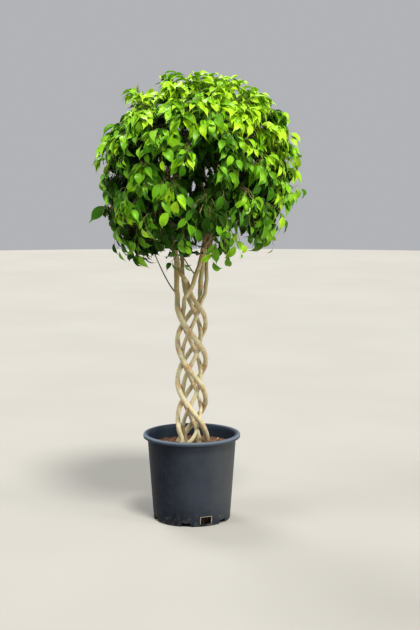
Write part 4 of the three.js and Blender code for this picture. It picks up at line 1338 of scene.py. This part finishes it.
def lay_leaves(twigs, count, first_place, number, limit):
    """Leaves by turns on either side of many twigs: where each is rooted, which way it points, which
    way its face looks, its length, and its twig. Twigs may set their own leaves' direction, facing,
    size and bend."""
    total = len(twigs["arcs"])
    twig = np.repeat(np.arange(total), count)
    slot = np.tile(np.arange(count), total)
    item = number + twig * count + slot

    def own(key, usual):
        return twigs[key][twig] if key in twigs else usual

    shuffle = LEAF_SHUFFLE * (chance(item, 21) - 0.5) * (slot < count - 1)
    place = mix(first_place, 1.0, (slot + shuffle) / max(1, count - 1))
    arcs = twigs["arcs"][twig]
    root = on_curve(arcs, place)
    start, control, end = np.moveaxis(arcs, 1, 0)
    forward = unit(mix(control - start, end - control, place[:, None]))
    outward = unit(root - CROWN_CENTRE)
    downhill = forward * ALONG_TWIG - UP * (1 - LESS_DOWN_ON_TOP * np.maximum(0, outward[:, 2:]) ** 2)
    downhill = unit(downhill - dot(downhill, outward) * outward)
    sideways = np.cross(outward, downhill) * np.where(slot % 2, 1.0, -1.0)[:, None]
    high = smooth(outward[:, 2], *TOP_SPAN)
    along = own("aim", unit(outward * picked(LEAF_OUTWARD, item, 23)[:, None]
                            + downhill * (picked(LEAF_DOWNHILL, item, 24) - LEVEL_ON_TOP * high)[:, None]
                            + sideways * picked(LEAF_SIDEWAYS, item, 22)[:, None]))
    tilt = around(360 * chance(item, 25), LEAF_TILT * chance(item, 26), 0.0)
    across = unit(np.cross(along, outward + UP * LEAF_FACE_UP + tilt + own("facing", 0.0)))
    young = 1 - YOUNG_SHORTER * smooth(place, *YOUNG_SPAN) * chance(twig, 27)
    length = mix(*LEAF_LENGTH, chance(item, 28) ** LENGTH_POWER) * young * own("size", 1.0)
    bend = own("bend", picked(LEAF_BEND, item, 32) + BENT_ON_TOP * high)
    return dict(root=root, along=along, across=across, normal=np.cross(across, along), length=length,
                bend=bend, item=item, twig=twig, place=place, mass=twigs["mass"][twig],
                parent=twigs["parent"][twig], seed=np.full(item.shape, number),
                limit=np.full(item.shape, float(limit)))


def leaf_limit(headings, shoots):
    """How far leaf tips go, as a share of the crown's reach: fullest over the ends of the shoots of
    the solids, less between them, and less where the photograph shows sky."""
    nearest = np.max(headings @ shoots["heading"].T, 1)
    away = np.degrees(np.arccos(np.clip(nearest, -1, 1)))
    return 1 - CLUSTER_HOLLOW * smooth(away, *CLUSTER_ANGLES) + swells(headings, LEAF_HOLLOWS)


def leaf_tips(leaves):
    """Where each leaf's tip comes to, on the circle that its midrib bends along."""
    bend = leaves["bend"]
    radius = (leaves["length"] + STALK_LENGTH[1]) / bend
    return (leaves["root"] + leaves["along"] * (radius * np.sin(bend))[:, None]
            - leaves["normal"] * (radius * (1 - np.cos(bend)))[:, None])


def in_reach(leaves, shoots):
    """Which leaves keep their tips inside the crown's outside, and clear of every stem and bough."""
    tips = leaf_tips(leaves)
    headings = unit(tips - CROWN_CENTRE)
    limit = np.where(leaves["limit"] > 0, leaves["limit"], leaf_limit(headings, shoots))
    inside = np.linalg.norm(tips - CROWN_CENTRE, axis=1) < crown_reach(headings) * limit
    bough_points = curve(bough_arcs(), np.linspace(0, 1, CLEAR_BOUGH_POINTS)).reshape(-1, 3)
    centres, widths = [bough_points], [np.full(len(bough_points), CLEAR_BOUGH_RADIUS)]
    for stem in STEMS.values():
        heights = np.arange(CLEAR_FROM, stem["fork"], CLEAR_STEP)
        centres.append(stem_points(stem, heights))
        widths.append(stem_thickness(stem, heights))
    centres, widths = np.concatenate(centres), np.concatenate(widths)
    clear = np.ones(len(tips), bool)
    for share in CLEAR_SHARES:
        points = mix(leaves["root"], tips, share)
        gap = np.linalg.norm(points[:, None] - centres, axis=2) - widths
        clear &= gap.min(1) > LEAF_CLEARANCE
    return inside & clear


def leaf_mesh(leaves):
    """Each leaf is a flat tube: rings of four points run from the stalk's foot to the tip, three
    facing up and the fourth under the midrib. A ring is as wide as the leaf's outline there. The
    blade folds along its midrib, waves a little, bends down towards its tip and twists. Every other
    face is counted from its next corner, so that both sides of the blade crease along the same
    diagonals. u goes round a ring, so the upper face has 0 to 1 and the lower one 1 to 2."""
    item = leaves["item"][:, None]
    count = len(item)
    root, along, across, normal = [leaves[key][:, None] for key in ("root", "along", "across", "normal")]
    stalk = picked(STALK_LENGTH, item, 30)
    length = leaves["length"][:, None]
    distance = np.concatenate([-stalk, -STALK_MIDDLE * stalk, OUTLINE_ALONG * length], 1)
    width = LEAF_WIDTH_SHARE * picked(LEAF_WIDTH_VARIES, item, 31) * length / 2
    half = np.concatenate([np.tile(STALK_HALVES, (count, 1)), OUTLINE_WIDTH * width], 1)
    blade = np.clip(distance / length, 0, 1)
    bend = (leaves["bend"][:, None] * blade
            + STALK_BEND * np.clip(distance / stalk + 1, 0, 1) * picked((-1.0, 1.0), item, 33))
    step = np.diff(distance, axis=1)
    middle = (bend[:, 1:] + bend[:, :-1]) / 2
    ahead, sink = running(step * np.cos(middle)), running(-step * np.sin(middle))
    centre = root + along * ahead[..., None] + normal * sink[..., None]
    lift = normal * np.cos(bend)[..., None] + along * np.sin(bend)[..., None]
    twist = (picked(LEAF_TWIST, item, 34) * blade)[..., None]
    wide = across * np.cos(twist) + lift * np.sin(twist)
    lift = lift * np.cos(twist) - across * np.sin(twist)
    fold = picked(LEAF_FOLD, item, 35)
    wave = LEAF_WAVE * np.sin(blade * LEAF_WAVE_TURN + phase(item, 36)) * half * (blade > 0)
    thick = np.minimum(LEAF_THICKNESS, half * EDGE_THICKNESS_SHARE)[..., None]
    left, right = [centre + wide * (half * side)[..., None] + lift * (fold * half + wave * side)[..., None]
                   for side in (-1, 1)]
    points = np.stack([left, centre + lift * thick / 2, right, centre - lift * thick / 2], 2)
    rings = points.shape[1]
    number = np.arange(count * rings * 4).reshape(count, rings, 4)
    cells, v = cells_of(number), distance / length
    uv = uv_of_cells(v, 4, 2)
    odd = np.array([False, True, False, True])[:, None]
    cells = np.where(odd, np.roll(cells, -1, -1), cells)
    uv = np.where(odd[..., None], np.roll(uv, -1, -2), uv)
    caps = np.stack([number[:, 0, ::-1], number[:, -1]], 1)
    cap_uv = np.stack(np.broadcast_arrays(0.5, v[:, [0, -1], None] + np.zeros(4)), -1)
    dealt = np.concatenate([np.repeat(leaves["tone"], (rings - 1) * 4), np.repeat(leaves["tone"], 2)])
    return dict(points=points.reshape(-1, 3), faces=[cells.reshape(-1, 4), caps.reshape(-1, 4)],
                uv=np.concatenate([uv.reshape(-1, 2), cap_uv.reshape(-1, 2)]), dealt=dealt)


def tone_of(leaves):
    """Which green each leaf has: painted light and shade, lighter by its spray's height, towards the right
    and on the top, darker deep in the crown, and lighter or darker at given spots; and its own tone, with
    chance for the shoot and the spray, and fresher at a spray's end."""
    outward = unit(leaves["root"] - CROWN_CENTRE)
    depth = 1 - np.linalg.norm(leaves["root"] - CROWN_CENTRE, axis=1) / crown_reach(outward)
    # painted light and shade: height, the right side, depth, the sunlit top and the spots; the chance terms
    # and a spray's end are the leaves' own tone
    light = (PAINTED_LIGHT_AND_TONE["start"] + PAINTED_LIGHT_AND_TONE["height"] * outward[:, 2] + PAINTED_LIGHT_AND_TONE["right"] * outward[:, 0]
             + PAINTED_LIGHT_AND_TONE["depth"] * np.maximum(0, depth - DARKER_FROM_DEPTH)
             + PAINTED_LIGHT_AND_TONE["top"] * smooth(outward[:, 2], *SUNLIT_TOP)
             + swells(outward, PAINTED_LIGHT_SPOTS)
             + PAINTED_LIGHT_AND_TONE["shoot"] * (chance(leaves["parent"], 41) - 0.5)
             + PAINTED_LIGHT_AND_TONE["spray"] * (chance(leaves["twig"] + leaves["seed"], 42) - SPRAY_EVEN)
             + PAINTED_LIGHT_AND_TONE["end"] * smooth(leaves["place"], *TWIG_END) * chance(leaves["twig"], 43)
             + PAINTED_LIGHT_AND_TONE["leaf"] * (chance(leaves["item"], 44) - 0.5))
    last = len(LEAF_TONES) - 1
    return last - np.clip(np.floor(light * len(LEAF_TONES)), 0, last).astype(int)


def crown_leaves(twigs, shoots):
    """All leaves of the crown: those of every kind of twig, less the bare ones, the ones that reach too far
    and the ones on sprays that have only a few left. Sprays and stray twigs are cut behind their last leaf."""
    sets = [lay_leaves(some, *KINDS[kind][:4]) for kind, some in twigs.items()]
    leaves = {key: np.concatenate([some[key] for some in sets]) for key in sets[0]}
    leaves["tone"] = tone_of(leaves)
    outward = unit(leaves["root"] - CROWN_CENTRE)
    good = in_reach(leaves, shoots) & (chance(leaves["item"], 45) >= swells(outward, BARE_SPOTS))
    on_spray = leaves["seed"] == KINDS["spray"][2]
    total = len(twigs["spray"]["arcs"])
    leafy = np.bincount(leaves["twig"][good & on_spray], minlength=total) >= FEWEST_LEAVES
    good &= ~on_spray | leafy[np.minimum(leaves["twig"], total - 1)]
    leaves = {key: values[good] for key, values in leaves.items()}
    for kind in ("spray", "stray"):
        mine = leaves["seed"] == KINDS[kind][2]
        length = np.zeros(len(twigs[kind]["arcs"]))
        np.maximum.at(length, leaves["twig"][mine], leaves["place"][mine])
        twigs[kind]["length"] = length
    twigs["spray"] = {key: values[leafy] for key, values in twigs["spray"].items()}
    return leaves


def crown(finish):
    """Twigs and leaves, mass by mass, each mass's own from the solids' shoots carried on."""
    greens = [leaf_green(name, *tones) for name, tones in LEAF_TONES.items()]
    stem_arcs, roots = mass_stems()
    shoots = main_shoots(stem_arcs)
    twigs = dict(spray=sprays(shoots), shoot=shoots, side=side_twig_sprays(), stray=stray_sprays(shoots),
                 sprout=stem_sprouts(), lone=lone_leaf_twigs(shoots))
    leaves = crown_leaves(twigs, shoots)
    paths = curve(stem_arcs, np.linspace(0, 1, MASS_STEM_RINGS))
    paths = np.concatenate([roots[:, None], paths], 1)
    relief = limb_relief(paths, MASS_STEM_SIDES, 0)
    twig_sets = [(paths, MASS_STEM_RADII, np.arange(len(MASSES)), MASS_STEM_SIDES, relief)]
    for kind, some in twigs.items():
        radii, rings, sides = KINDS[kind][4:]
        paths = curve(some["arcs"], np.linspace(0, 1, rings) * some.get("length", np.ones(1))[:, None])
        twig_sets.append((paths, radii, some["mass"], sides, np.ones((len(paths), 1, 1))))
    for number, name in enumerate(MASSES):
        parts = []
        for paths, radii, mass, sides, relief in twig_sets:
            mine = mass == number
            taper = np.tile(np.linspace(*radii, paths.shape[1]), (mine.sum(), 1))
            parts.append(limbs(*ended(paths[mine], taper), sides, relief[mine]))
        thing = piece(f"twigs_{name}", *together(parts), finishes=[finish])
        stand_for(thing, "young_bark", f"foliage_{name}")
        mine = leaves["mass"] == number
        mesh = leaf_mesh({key: values[mine] for key, values in leaves.items()})
        thing = piece(f"leaves_{name}", **mesh, finishes=greens, sharp=60)
        stand_for(thing, "leaves_" + name.split("_")[0], f"foliage_{name}")


# Stage, lights and camera

def stage():
    """A plain pale round floor: rings turned round the axis, closed in the middle by a fan."""
    points = turned(profile(FLOOR_RINGS, 0.0), FLOOR_COLUMNS).reshape(-1, 3)
    number = np.arange(len(points)).reshape(-1, FLOOR_COLUMNS)
    faces = [fan(number.size, number[0]), cells_of(number)[..., [0, 3, 2, 1]].reshape(-1, 4)]
    piece("floor", np.concatenate([points, [(0, 0, 0)]]), faces, finishes=[pale_floor()])


def lights():
    """An even world, and wide even lights from far off."""
    world = bpy.data.worlds.new("studio")
    world.use_nodes = True
    background = world.node_tree.nodes["Background"]
    background.inputs["Color"].default_value = WORLD_COLOUR
    background.inputs["Strength"].default_value = WORLD_STRENGTH
    bpy.context.scene.world = world
    for name, ((x, y, z), strength, width, tint) in LIGHTS.items():
        lamp = bpy.data.lights.new(name, "SUN")
        lamp.energy = strength
        lamp.angle = math.radians(width)
        lamp.color = tint
        turn = (math.atan2(math.hypot(x, y), z), 0, math.atan2(x, -y))
        placed(name, lamp).rotation_euler = turn


def camera():
    lens = bpy.data.cameras.new("camera")
    lens.lens = CAMERA_LENS
    lens.sensor_width = CAMERA_SENSOR
    thing = placed("camera", lens)
    thing.location = CAMERA_PLACE
    thing.rotation_euler = (math.radians(90 - CAMERA_PITCH), 0, 0)
    bpy.context.scene.camera = thing
    bpy.context.scene.view_settings.view_transform = "Standard"


camera()
lights()
stage()
pot()
mix_finish = potting_mix()
soil(mix_finish)
twig_finish = young_bark()
soil_litter(mix_finish, twig_finish)
stems()
boughs(twig_finish)
crown(twig_finish)
